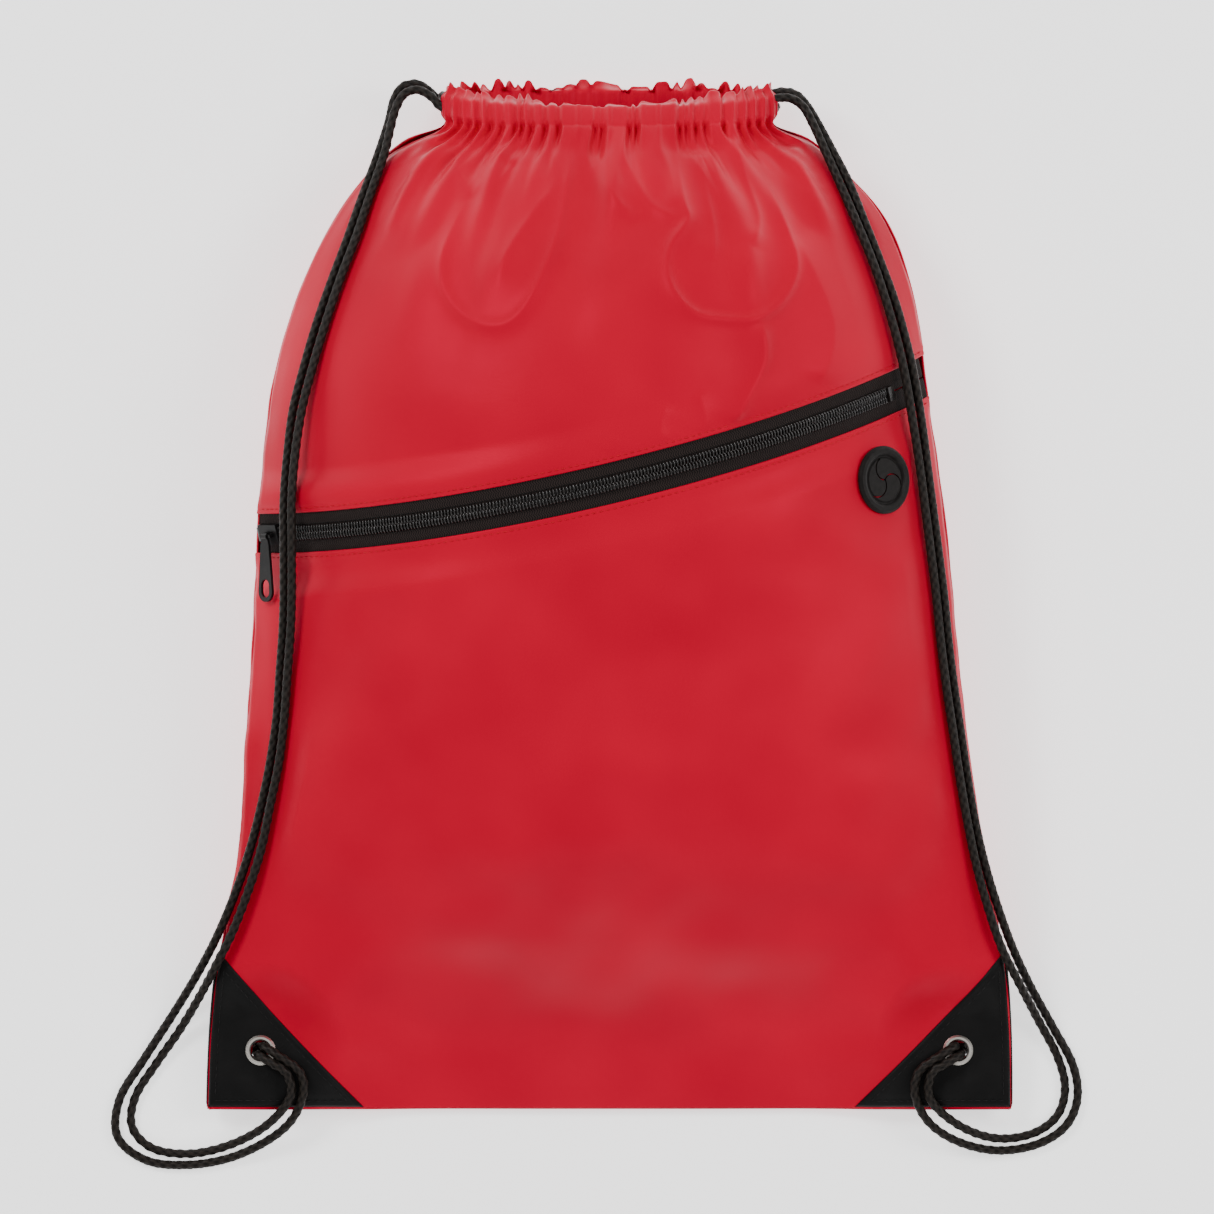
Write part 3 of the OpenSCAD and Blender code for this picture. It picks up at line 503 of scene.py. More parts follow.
ROUTES = {
    "cord_left_outer": [
     -70, 217.6, 13.2, -75, 218.9, 14.5, -79, 223.3, 17, -85, 227.2, 20.5, -91.5, 226, 23.5,
     -95.5, 220, 25.5, -98, 209.5, 28, -103, 194, 33, -109.5, 176, 42, -116, 157, 50, -123, 138, 55,
     -129.5, 119, 57.5, -135, 100, 59, -139.5, 82, 60, -142, 62, 61, -143.5, 42, 62, -143.5, 22, 62.5,
     -143.5, 4, 60.5, -144, -14, 57.5, -145.5, -34, 53.5, -147, -54, 51, -150, -74, 47.5, -154, -93, 43,
     -159, -112, 37.5, -165.5, -131, 31, -173.5, -150, 24.5, -183, -168, 14.5, -194, -186, 5.5,
     -207, -206, 2.2, -218, -224, 2.2, -219, -241, 2.2, -206, -251.5, 2.2, -188, -253.5, 2.2,
     -169.5, -250.5, 2.5, -153, -243, 6.5, -141.5, -233.5, 13, -136, -221.5, 18, -137.5, -211.5, 19.5,
     -147, -204.1, 20.8, -153.9, -200.1, 17.6],
    "cord_left_inner": [
     -70, 214.5, 33.3, -75, 217, 31.5, -79, 221.3, 29.8, -85, 224.3, 28.5, -91, 222.3, 28.8,
     -94.8, 215.5, 30.8, -97.2, 206, 33.4, -99.8, 195, 36.5, -105.5, 178, 44, -112, 158, 53,
     -119, 139, 58.5, -125.5, 119, 61.5, -131, 100, 63, -135.5, 82, 64, -138.5, 62, 65, -140, 42, 65.5,
     -140, 22, 65, -140, 4, 63.5, -140.5, -14, 60.5, -142, -34, 57.5, -143.5, -54, 54.5, -146, -74, 51,
     -150, -93, 47, -154, -112, 41.5, -160, -131, 35, -167, -149, 30, -174.5, -164, 25.5, -182, -178, 15.5,
     -191, -193, 6, -201.5, -208, 2.4, -211, -223, 2.2, -212.5, -236.5, 2.2, -203.5, -246, 2.2,
     -187, -248.5, 2.2, -169, -244.5, 4, -152.5, -235.5, 12, -141.8, -223, 18.2, -143, -212.5, 20.2,
     -150.1, -207.3, 20.8, -156.1, -203.9, 17.6],
    "cord_right_outer": [
     70, 222.4, 13.2, 76.5, 224, 16.5, 83, 222.5, 20.5, 88, 217, 24.5, 93, 208.5, 28, 98.5, 198, 32.5,
     106, 183, 39.5, 113, 165, 47, 120, 147, 51, 126.5, 129, 53, 131.5, 111, 53.5, 135, 95, 52.5,
     138, 77, 51.5, 140.5, 58, 50.5, 143, 39, 49, 145.5, 20, 47.5, 148, 0, 46.5, 150, -20, 45,
     152.5, -40, 43.5, 155.5, -60, 41.5, 158.5, -80, 39.5, 162, -100, 37, 166.5, -119, 33, 172, -137, 28.5,
     179, -156, 19.5, 187.5, -174, 9.5, 197.5, -192, 3.2, 206.5, -209, 2.2, 208.5, -224, 2.2,
     203, -236.5, 2.2, 190, -244.5, 2.2, 172.5, -247, 3, 155.5, -243, 8, 142.5, -234.5, 13.5,
     136, -222.5, 18, 137.5, -211.5, 19.5, 147, -204.1, 20.8, 153.9, -200.1, 17.6],
    "cord_right_inner": [
     70, 219.2, 32.2, 75.5, 220.7, 30, 81, 220.3, 28.5, 86.2, 216.5, 29, 90.3, 209, 31.5, 95, 198.5, 35,
     102, 182.5, 42, 109.5, 164.5, 50.5, 116.5, 147, 54.5, 122.5, 129, 56.5, 127.5, 111, 57, 131, 95, 56,
     134, 77, 55, 137, 58, 53.5, 139.5, 39, 52, 142, 20, 50.5, 144.5, 0, 49, 146.5, -20, 48, 149, -40, 47,
     152, -60, 45, 155, -80, 43, 158.5, -100, 40, 162.5, -119, 36, 167.5, -137, 31.5, 174, -156, 27,
     182.5, -173, 18.5, 191, -189, 7, 199.5, -205, 2.4, 203, -219, 2.2, 199.5, -231.5, 2.2,
     188.5, -239.5, 2.2, 172, -241.5, 4.5, 155.5, -235.5, 11.5, 142.8, -224, 18, 143, -212.5, 20.2,
     150.1, -207.3, 20.8, 156.1, -203.9, 17.6],
}
CORD_D = 4.0


def spline(points, steps):
    """A smooth path through the points, with a number of steps between each two."""
    p = np.reshape(points, (-1, 3)).astype(float)
    p = np.concatenate([p[:1], p, p[-1:]])
    f = (np.arange(steps) / steps)[None, :, None]
    a, b, c, d = (p[k:len(p) - 3 + k, None] for k in range(4))
    bend, twist = 2 * a - 5 * b + 4 * c - d, 3 * b - a - 3 * c + d
    curve = 0.5 * (2 * b + (c - a) * f + bend * f**2 + twist * f**3)
    return np.concatenate([curve.reshape(-1, 3), p[-1:]])


def sampled(points, at, want):
    """Vectors known at some places along a line, read at others."""
    return np.stack([np.interp(want, at, points[:, k]) for k in range(3)], 1)


def even_path(points, spacing):
    """The same line with evenly spaced points, and their places along it."""
    steps = np.linalg.norm(np.diff(points, axis=0), axis=1)
    s = np.concatenate([[0], np.cumsum(steps)])
    count = max(2, int(round(s[-1] / spacing)) + 1)
    want = np.linspace(0, s[-1], count)
    return sampled(points, s, want), want


def carried_frames(path):
    """Two unit vectors square to the path at each point, turning as little as they can."""
    d = unit(np.gradient(path, axis=0))
    u = np.empty_like(d)
    v = np.array([0.12, 0.2, 1.0])
    for i, step in enumerate(d):
        v = unit(v - (v @ step) * step)
        u[i] = v
    return u, np.cross(d, u)


def swept_tube(path, radii, sides):
    """Points and faces of a tube; radii is one value, or one for each point and side."""
    u, w = carried_frames(path)
    c = np.arange(sides) * 2 * math.pi / sides
    radii = np.broadcast_to(radii, (len(path), sides))[..., None]
    ring = np.cos(c)[None, :, None] * u[:, None] + np.sin(c)[None, :, None] * w[:, None]
    points = (path[:, None] + radii * ring).reshape(-1, 3)
    i, j = np.meshgrid(np.arange(len(path) - 1), np.arange(sides), indexing="ij")
    a, b = (i * sides + j).ravel(), (i * sides + (j + 1) % sides).ravel()
    faces = np.stack([a, b, b + sides, a + sides], 1).tolist()
    end = (len(path) - 1) * sides
    faces += [list(range(sides))[::-1], [end + k for k in range(sides)]]
    return points, faces


def joined(tubes):
    """The points and faces of several tubes as one mesh."""
    points, faces, size = [], [], 0
    for p, f in tubes:
        points.append(p)
        faces += [[k + size for k in face] for face in f]
        size += len(p)
    return np.concatenate(points), faces


BRAID_CORE, BRAID_RELIEF = 0.60, 0.30  # Parts of the cord's radius
BRAID_LAY = 4.8


def braid_radii(length_at, sides, radius):
    """Surface of a braid: two families of four strands that pass over and under each other."""
    turn = np.arange(sides) / sides * 4
    a = turn[None] - length_at[:, None] / BRAID_LAY
    b = turn[None] + length_at[:, None] / BRAID_LAY
    over = 0.5 * np.cos(math.pi * (b - 0.5) + math.pi * np.floor(a))
    under = -0.5 * np.cos(math.pi * (a - 0.5) + math.pi * np.floor(b))
    strand_a = np.sqrt(np.maximum(0, 1 - (2 * (a % 1) - 1) ** 2)) + over
    strand_b = np.sqrt(np.maximum(0, 1 - (2 * (b % 1) - 1) ** 2)) + under
    return radius * (BRAID_CORE + BRAID_RELIEF * np.maximum(strand_a, strand_b))


def strand_heights(radii, radius):
    """0 in the braid's deepest grooves to 1 on top of its strands."""
    return np.clip((radii / radius - BRAID_CORE - 0.5 * BRAID_RELIEF) / BRAID_RELIEF, 0, 1)


def braided_cord(name, centreline, node):
    """A braided cord in the place of a CAD cord; returned with its path."""
    step, sides = 0.75, 20
    path, at = even_path(centreline, step)
    radii = braid_radii(at, sides, CORD_D / 2)
    points, faces = swept_tube(path, radii, sides)
    ring = np.arange(sides) / sides * CORD_D * math.pi
    uv = np.stack(np.broadcast_arrays(ring[None], at[:, None]), -1).reshape(-1, 2) * MM
    heights = strand_heights(radii, CORD_D / 2)
    piece = make_piece(name, points, faces, YARN, uv=uv, slot="cord", strand_height=heights)
    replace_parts(piece, node)
    return piece, path


# ---- Folds of the cloth ----


def ripple(t, count, seed, roughness=0.35):
    """Uneven ridges across the cloth, from -1 to 1, rounder on top than in the valleys."""
    rng = np.random.default_rng(seed)
    warp = sum(rng.uniform(-1, 1) * np.sin(k * t * math.pi + rng.uniform(0, 6.3)) / k for k in range(1, 7))
    phase = math.pi * count * (t + roughness * warp / count * 2)
    size = 0.75 + 0.25 * np.sin(phase * 0.37 + rng.uniform(0, 6.3))
    return size * (np.cos(phase) + 0.22 * np.cos(2 * phase + 0.6))


def distance_to_cords(x, y):
    """Plan distance to the nearest free cord."""
    best = np.full(x.shape, 1e9)
    for route in ROUTES.values():
        line, _ = even_path(spline(route, 4), 6)
        for p in line:
            best = np.minimum(best, np.hypot(x - p[0], y - p[1]))
    return best


# Soft bellies of the gathered cloth: middle x at the mouth, x and y at the low end, half-width, height
PUFFS = [
    (-40, -48, 122, 26, 2.6),
    (42, 54, 124, 28, 3.0),
    (4, 12, 165, 14, 1.6),
    (-74, -92, 150, 15, 2.0),
    (84, 96, 160, 14, 2.0),
]
# Creases of the gathered cloth: height, width, and x and y of each point in turn
CREASES = [
    (1.9, 2.9, [-62, 176, -69, 160, -73, 145, -71, 132, -62, 122, -50, 118, -40, 122, -31, 135, -23, 156,
        -19, 178, -17, 193, -20, 207]),
    (1.1, 3.5, [-61, 174, -66, 187, -65, 197, -59, 206, -48, 214]),
    (1.2, 3.5, [-61, 175, -55, 183, -52, 193, -46, 204, -43, 212]),
    (1.3, 3.0, [-49, 131, -44, 148, -32, 167, -24, 180, -25, 193, -28, 201]),
    (0.9, 3.0, [-43, 189, -41, 200, -39, 209]),
    (1.4, 3.0, [13, 164, 3, 172, -7, 186, -11, 200, -12, 209]),
    (1.5, 3.0, [32, 163, 18, 171, 10, 185, 6, 198, 7, 207]),
    (0.8, 3.5, [28, 168, 26, 188, 18, 204]),
    (2.3, 2.9, [30, 205, 30, 190, 32, 172, 34, 163, 27, 153, 25, 142, 29, 131, 38, 123, 50, 121, 64, 121,
        75, 129, 81, 142, 78, 159, 70, 180, 60, 203]),
    (1.4, 3.0, [40, 196, 40, 186, 45, 162, 45, 145]),
    (1.6, 3.0, [53, 205, 58, 188, 65, 166, 62, 151]),
    (1.8, 4.0, [66, 120, 68, 104, 60, 86, 52, 72]),
    (1.4, 9.0, [80, 160, 98, 120, 92, 92]),
    (0.8, 4.0, [-88, 184, -82, 197, -73, 208]),
    (0.8, 5.0, [-100, 160, -95, 180, -86, 200]),
    (1.0, 3.0, [25, 84, 22, 74, 25, 64]),
    (0.6, 3.0, [39, 90, 42, 78, 41, 71]),
    (0.5, 3.0, [3, 70, 0, 62]),
]


def distance_to_line(x, y, points):
    """Plan distance to a smooth line, and how far along it the nearest place is, from 0 to 1."""
    line = spline([(*p, 0) for p in np.reshape(points, (-1, 2))], 4)[:, :2]
    best, along = np.full(x.shape, 1e9), np.zeros(x.shape)
    for k in range(len(line) - 1):
        a, step = line[k], line[k + 1] - line[k]
        f = np.clip(((x - a[0]) * step[0] + (y - a[1]) * step[1]) / (step @ step), 0, 1)
        d = np.hypot(x - a[0] - f * step[0], y - a[1] - f * step[1])
        near = d < best
        best = np.where(near, d, best)
        along = np.where(near, (k + f) / (len(line) - 1), along)
    return best, along


def creases(x, y):
    """Sharp ridges along the crease lines, fading out at their ends."""
    total = np.zeros_like(x)
    for height, width, points in CREASES:
        d, along = distance_to_line(x, y, points)
        ends = fade(0, 0.18, along) * fade(0, 0.18, 1 - along)
        total += height * ends * np.exp(-(np.hypot(d, 0.9) - 0.9) / width)
    return total


def puffs(x, y):
    """Bellies that open out from the mouth and end in a round."""
    top_y, widest = 215, 0.62
    total = np.zeros_like(x)
    for top_x, low_x, low_y, half, height in PUFFS:
        f = np.clip((top_y - y) / (top_y - low_y), 0, 1.4)
        across = (x - mix(top_x, low_x, f)) / (half * (0.30 + 0.70 * fade(0, widest, f)))
        down = np.maximum(0, f - widest) / 0.38
        reach = np.sqrt(across**2 + down**2)
        total += height * (1 - fade(0.35, 1.15, reach)) * fade(-0.05, 0.35, f)
    return total


def soft_waves(x, y, scale, seed):
    """Broad gentle unevenness, from about -1 to 1."""
    rng = np.random.default_rng(seed)
    total = 0
    for _ in range(7):
        turn, phase = rng.uniform(0, math.pi), rng.uniform(0, 6.3)
        k = 2 * math.pi / (scale * rng.uniform(0.7, 1.5))
        total = total + np.sin(k * (x * math.cos(turn) + y * math.sin(turn)) + phase)
    return total / 3.5


# Where the gathered hems fold inwards, in x
FRONT_TUCKS = [-72, -69, -65, -61, -57, -52, -47, -41, -38, -34, -28, -22, -6, -3, 9, 12, 31, 34, 38, 42,
               50, 57, 61, 65, 69, 72]
BACK_TUCKS = [-72, -68, -63, -58, -53, -47, -42, -39, -33, -26, -21, -15, -8, 6, 8, 19, 28, 32, 39, 44, 49,
              55, 60, 64, 68, 72]
# Wider V folds under the hem: x, half-width at the top and length
DEEP_FOLDS = [(-37, 4.5, 22), (1, 8, 26), (36, 5, 30)]
HEM_REACH = 78.0  # Degrees round the mouth from its middle to the side seams
TUCK_TOP_Y, DEEP_TOP_Y, TUCK_WIDTH = 202, 204, 1.3


def tucks(x, places):
    """1 at each tuck and 0 between them."""
    return np.max([np.exp(-((x - k) / TUCK_WIDTH) ** 2) for k in places], 0)


def lobes(x, places, seed):
    """A random value from -1 to 1 on each stretch between tucks, blended over the tucks."""
    rng = np.random.default_rng(seed)
    values = rng.uniform(-1, 1, len(places) + 1)
    total = values[0] + 0 * x
    for k, place in enumerate(places):
        total = total + (values[k + 1] - values[k]) * fade(-TUCK_WIDTH, TUCK_WIDTH, x - place)
    return total


def gathers(t, y, places, seed):
    """Folds that run down from the hem's tucks, each for its own length, and broader ones."""
    rng = np.random.default_rng(seed)
    x = hem_x(t)
    total = 0 * (x + y)
    for place in places:
        length = rng.uniform(8, 30)
        f = np.clip((TUCK_TOP_Y - y) / length, 0, 1)
        width = mix(2.3, 1.0, f)
        total = total - rng.uniform(1.6, 3.2) * (1 - f) ** 1.4 * np.exp(-((x - place) / width) ** 2)
    for place, half, length in DEEP_FOLDS:
        f = np.clip((DEEP_TOP_Y - y) / length, 0, 1)
        total = total - 3.2 * (1 - f) * np.maximum(0, 1 - np.abs(x - place) / mix(half, 0.8, f))
    middle = 1.5 * ripple(t, 11, seed + 1) * fade(140, 195, y) * (1 - 0.6 * fade(198, 213, y))
    broad = 1.2 * ripple(t, 4.5, seed + 2, 0.6) * fade(80, 150, y) * (1 - fade(175, 210, y))
    return total + middle + broad


def hem_x(t):
    """x on the hem above each column."""
    return MOUTH_HALF * np.sin(np.radians(HEM_REACH * t))


# ---- Fabric ----

HEM_FOOT = 9  # From a hem casing's middle down to the panel
STITCH_INSET = 1.6
FLAT_HALF = 178.5
SIDE_SEED = 3
t_columns = np.linspace(-1, 1, 420)
HEM_PROFILE = [  # Up the outside of the casing, over its frill and down the inside
    (-8.6, 2.4), (-7.6, 2.3), (-6.4, 2.45), (-4.4, 2.6), (-2.0, 2.7), (1.0, 2.7), (3.6, 2.4),
    (5.6, 1.1), (7.0, 0.6), (7.5, 0.0), (7.0, -0.6), (5.6, -1.1), (3.6, -2.4), (1.0, -2.6),
    (-2.0, -2.6), (-4.4, -2.4), (-7.0, -1.2), (-8.6, -0.9)]


def rows_between(low, high, count):
    """y of each row of a grid, for each of its columns."""
    return np.reshape(low, (-1, 1)) + np.reshape(high - low, (-1, 1)) * np.linspace(0, 1, count)[None]


def flat_uv(t, rows_y):
    """Where each point lay on the flat cloth, in metres."""
    return np.stack(np.broadcast_arrays(t[:, None] * FLAT_HALF, rows_y), -1) * MM


def seam_roll(t):
    """The cloth rolls in at its side seams."""
    return -0.9 * fade(0.985, 1.0, np.abs(t))


def side_pucker(t, y):
    """Small uneven pulls along the side seams, in x."""
    waves = 0.3 * soft_waves(0 * y, y, 26, SIDE_SEED) + 0.6 * soft_waves(0 * y, y, 70, SIDE_SEED + 1)
    return fade(0.93, 1.0, np.abs(t)) * np.sign(t) * waves * fade(-205, -160, y)


def folded(grid, folds, t, y):
    """The grid moved out by its folds, with puckered sides."""
    grid = grid + folds[..., None] * normals_of(grid)
    grid[..., 0] += side_pucker(t[:, None], y)
    return grid


def calmed(folds, x, y, far, kept):
    """Ridges are pressed flat under the cords, and hollows keep a part of their depth."""
    near = fade(4, far, distance_to_cords(x, y))
    return np.where(folds > 0, folds * near, folds * mix(kept, 1, near))


def stitch_groove(from_edge):
    return -0.2 * np.exp(-((from_edge - STITCH_INSET) / 0.6) ** 2)


def hem_rows(front, t, places, seed):
    """The hem as it runs up the outside, over the edge and down the inside, for each column."""
    up, out = rim_axes(front, HEM_REACH * t)
    u, v = spline([(*p, 0) for p in HEM_PROFILE], 3)[:, :2].T
    x = hem_x(t)
    tuck, lobe = tucks(x, places)[:, None], lobes(x, places, seed)[:, None]
    tilt = lobes(x, places, seed + 1)[:, None] * (1 - tuck)
    frill = fade(3.2, 7.2, u)[None]
    foot = fade(-4.5, -8.0, u)[None]
    round_cord = (1 - frill) * (1 - foot)
    pleat = (1 - tuck) * (1.2 + 0.7 * lobe) + 0.5 * np.maximum(0, ripple(t, 27, seed + 5))[:, None]
    swell = np.sign(v)[None] * pleat * round_cord + (v[None] > 0) * pleat * foot
    ruffle = 1.0 if front else 1.8
    bend = frill * ruffle * (1.6 * lobe + 1.2 * ripple(t, 13, seed + 3)[:, None] - 2.0 * tuck)
    bend = bend - foot * 2.2 * tuck
    rise = frill * ruffle * (1.3 * tilt - 1.6 * tuck + 0.8 * ripple(t, 5, seed + 4)[:, None])
    if front:
        rise = rise + frill * 3.2 * fade(18, 46, np.abs(x))[:, None]
    middle, outward = rim(front, HEM_REACH * t)[:, None], v[None] + swell + bend
    return middle + (u + rise)[..., None] * up[:, None] + outward[..., None] * out[:, None]


def join_rows(panel, hem):
    """The panel's rows, a smooth bridge and the hem's rows as one grid."""
    steps = 8
    p0, p1 = panel[:, -1], hem[:, 0]
    gap = np.linalg.norm(p1 - p0, axis=1)[:, None]
    d0 = unit(panel[:, -1] - panel[:, -2]) * gap
    d1 = 0.6 * unit(hem[:, 1] - hem[:, 0]) * gap
    bridge = []
    for k in range(1, steps):
        f = k / steps
        bridge.append(
            (1 + 2 * f) * (1 - f) ** 2 * p0 + f * (1 - f) ** 2 * d0
            + f * f * (3 - 2 * f) * p1 - f * f * (1 - f) * d1)
    return np.concatenate([panel, np.stack(bridge, 1), hem], 1)


def row_lengths(grid):
    """Distance up each column of a grid, for the weave's coordinates."""
    steps = np.linalg.norm(np.diff(grid, axis=1), axis=2)
    return np.concatenate([np.zeros((len(grid), 1)), np.cumsum(steps, 1)], 1)


def tucked_edge(grid, first):
    """Adds the folded edge along the zip, turned under the panel."""
    fold_r, turned_under = 0.55, 6
    edge = grid[:, 0] if first else grid[:, -1]
    inward = unit(grid[:, 1] - grid[:, 0] if first else grid[:, -2] - grid[:, -1])
    n = normals_of(grid)[:, 0 if first else -1]
    rows = []
    for turn in np.radians((40, 80, 120, 160)):
        rows.append(edge - fold_r * math.sin(turn) * inward - fold_r * (1 - math.cos(turn)) * n)
    rows.append(edge + turned_under * inward - 2 * fold_r * n)
    rows = np.stack(rows, 1)
    return np.concatenate([rows[:, ::-1], grid], 1) if first else np.concatenate([grid, rows], 1)


def upper_front():
    """The front above the zip, with its gathers and hem."""
    t = t_columns
    low = zip_line(t, PARTING)
    y = rows_between(low, 211 - 7 * np.cos(math.pi / 2 * t) - HEM_FOOT, 120)
    grid = front_surface(t[:, None], y)
    x = grid[..., 0]
    above = across_zip(grid) - PARTING
    free = fade(1, 30, above)
    folds = (gathers(t[:, None], y, FRONT_TUCKS, 11) + puffs(x, y)) * free
    folds += creases(x, y) * fade(0, 6, above) + 0.7 * soft_waves(x, y, 70, 5) * free
    folds = calmed(folds, x, y, 16, 0.5)
    folds = folds + seam_roll(t)[:, None] * fade(0, 12, above) + stitch_groove(above)
    grid = tucked_edge(folded(grid, folds, t, y), True)
    grid = join_rows(grid, hem_rows(True, t, FRONT_TUCKS, 11))
    uv = flat_uv(t, row_lengths(grid) + low[:, None])
    piece = fabric_piece("front_upper", grid, uv)
    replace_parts(piece, "front_panel", "hem_casing_front")


def pocket_folds(x, y, grid):
    """The pocket's soft swells and pulls from the corners, with a flat rim at the port."""
    swells = 1.3 * soft_waves(x, y, 95, 21) + 0.5 * soft_waves(x, y, 42, 22)
    swells *= fade(0, 60, y - BOTTOM_Y)
    pulls = 0
    for side in (-1, 1):
        dx, dy = x - side * GROMMET[0], y - GROMMET[1]
        far = np.hypot(dx, dy)
        reach = fade(22, 50, far) * (1 - fade(70, 130, far))
        pulls = pulls + 0.3 * np.cos(np.arctan2(dy, -side * dx) * 11 + 0.7 * side) * reach
    at_port = fade(17, 34, np.hypot(x - PORT[0], y - PORT[1]))
    return (swells + pulls) * (fade(0, 26, -PARTING - across_zip(grid)) * at_port)


def pocket_surface(t, y):
    """The pocket panel's outer face, and its folds."""
    grid = front_surface(t, y)
    x = grid[..., 0]
    folds = calmed(pocket_folds(x, y, grid), x, y, 14, 0.4)
    return grid, folds * fade(10, 26, from_grommet(x, y))


def pocket_panel():
    """The front below the zip."""
    t = t_columns
    y = rows_between(BOTTOM_Y, zip_line(t, -PARTING), 230)
    grid, folds = pocket_surface(t[:, None], y)
    below = -PARTING - across_zip(grid)
    folds = folds + stitch_groove(below) + seam_roll(t)[:, None] * fade(0, 12, below)
    grid = tucked_edge(folded(grid, folds, t, y), False)
    piece = fabric_piece("front_pocket", grid, flat_uv(t, row_lengths(grid) + BOTTOM_Y))
    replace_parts(piece, "pocket_panel")


def back_panel():
    """The back sheet, turned over so that its outer face is down, with its hem."""
    t = t_columns[::2]
    y = rows_between(BOTTOM_Y, 210.5 + 1.5 * np.cos(math.pi / 2 * t) - HEM_FOOT, 200)
    grid = back_surface(t[:, None], y)
    rise = np.maximum(0, gathers(t[:, None], y, BACK_TUCKS, 31) + 1.5)
    rise += np.maximum(0, 0.8 * soft_waves(grid[..., 0], y, 80, 41)) * fade(0, 50, y - BOTTOM_Y)
    rise = rise * (0.35 + 0.65 * fade(120, 200, y))
    inward = -seam_roll(t)[:, None] + rise * (1 - 0.6 * fade(0.8, 1, np.abs(t))[:, None])
    grid = join_rows(folded(grid, inward, t, y), hem_rows(False, t, BACK_TUCKS, 47))
    grid[..., 2] = np.maximum(grid[..., 2], 0.05)
    piece = fabric_piece("back_sheet", grid[::-1], flat_uv(t, row_lengths(grid) + BOTTOM_Y)[::-1])
    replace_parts(piece, "back_panel", "hem_casing_back")


def pocket_lining():
    """A thin sheet that hangs from the upper tape behind the pocket's face."""
    half = 0.94
    t = half * np.linspace(-1, 1, 120)
    f = np.linspace(0, 1, 90)[None]
    y = rows_between(BOTTOM_Y, zip_line(t, TAPE_HALF - 1), 90)
    grid = front_surface(t[:, None], y)
    depth = mix(1.7, 3.7, fade(0.6, 1, f))
    sag = 14 * (1 - (np.abs(t)[:, None] / half) ** 4) * fade(0.2, 0.5, f)
    sag = sag * (1 - fade(0.86, 1, f))
    waves = 1.2 * soft_waves(grid[..., 0], y, 60, 61) * fade(0.2, 0.4, f)
    waves = waves * (1 - fade(0.8, 0.95, f))
    grid = grid - (depth + sag + np.abs(waves))[..., None] * normals_of(grid)
    piece = fabric_piece("pocket_lining_sheet", grid, flat_uv(t, y), LINING_RED, 0.4, "lining")
    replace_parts(piece, "pocket_lining")


# ---- Stitches ----


STITCH_ARCH = np.array([-0.5, 0.35, 0.75, 0.85, 0.75, 0.35, -0.5])
STITCH_TAPER = np.array([0.5, 0.9, 1, 1, 1, 0.9, 0.5])


def stitches(name, line, normals, length, gap, radius, material):
    """A row of thread stitches laid on a line."""
    path, at = even_path(line, 0.5)
    n = sampled(normals, np.arange(len(line)), np.linspace(0, len(line) - 1, len(path)))
    tubes, start = [], 0.0
    while start + length < at[-1]:
        s = np.linspace(start, start + length, len(STITCH_ARCH))
        run = sampled(path, at, s) + (STITCH_ARCH * radius)[:, None] * sampled(n, at, s)
        tubes.append(swept_tube(run, STITCH_TAPER[:, None] * radius, 6))
        start += length + gap
    make_piece(name, *joined(tubes), material)


def panel_stitches():
    """The rows that sew the panels to the zip's tapes."""
    t = np.linspace(-0.985, 0.985, 400)
    for name, s in (("stitches_above_zip", PARTING + STITCH_INSET),
                    ("stitches_below_zip", -PARTING - STITCH_INSET)):
        y = zip_line(t, s)
        line = front_surface(t, y)
        grid = np.stack([front_surface(t, y - 1), line, front_surface(t, y + 1)], 1)
        n = normals_of(grid)[:, 1]
        stitches(name, line - 0.2 * n, n, 2.4, 0.7, 0.24, RED_THREAD)


# ---- Corner patches ----

PATCH_LEG = 70.0
PATCH_T = 14 / 36  # The patch's share of the front's half-width, as t
PATCH_GAP, PATCH_GAP_T = 1.2, 0.003  # From the bottom and side seams
PATCH_CELLS = 56
PATCH_STITCH_INSET = 3.2
PATCH_HOLE_R = 5.0


def patch_point(side, front, at, along=0.0, up=0.0):
    """The cloth's face under a patch, with its folds' heights; at is the shares of both legs."""
    t = side * (1 - PATCH_T * at[:, 0]) * (1 - PATCH_GAP_T * (1 - at[:, 0])) + along
    y = BOTTOM_Y + PATCH_LEG * at[:, 1] + PATCH_GAP * (1 - at[:, 1]) + up
    t = np.clip(t, -1, 1)
    return pocket_surface(t, y) if front else (back_surface(t, y), 0 * y)


def patch_faces(index, clear):
    """Triangles clear of the hole, and the directed edges round them."""
    faces, edges = [], {}
    for i, j in index:
        for cell in (((i, j), (i + 1, j), (i, j + 1)), ((i + 1, j), (i + 1, j + 1), (i, j + 1))):
            face = [index.get(corner, -1) for corner in cell]
            if min(face) >= 0 and clear[face].all():
                faces.append(face)
    for face in faces:
        for a, b in zip(face, face[1:] + face[:1]):
            if edges.pop((b, a), None) is None:
                edges[a, b] = True
    return faces, edges


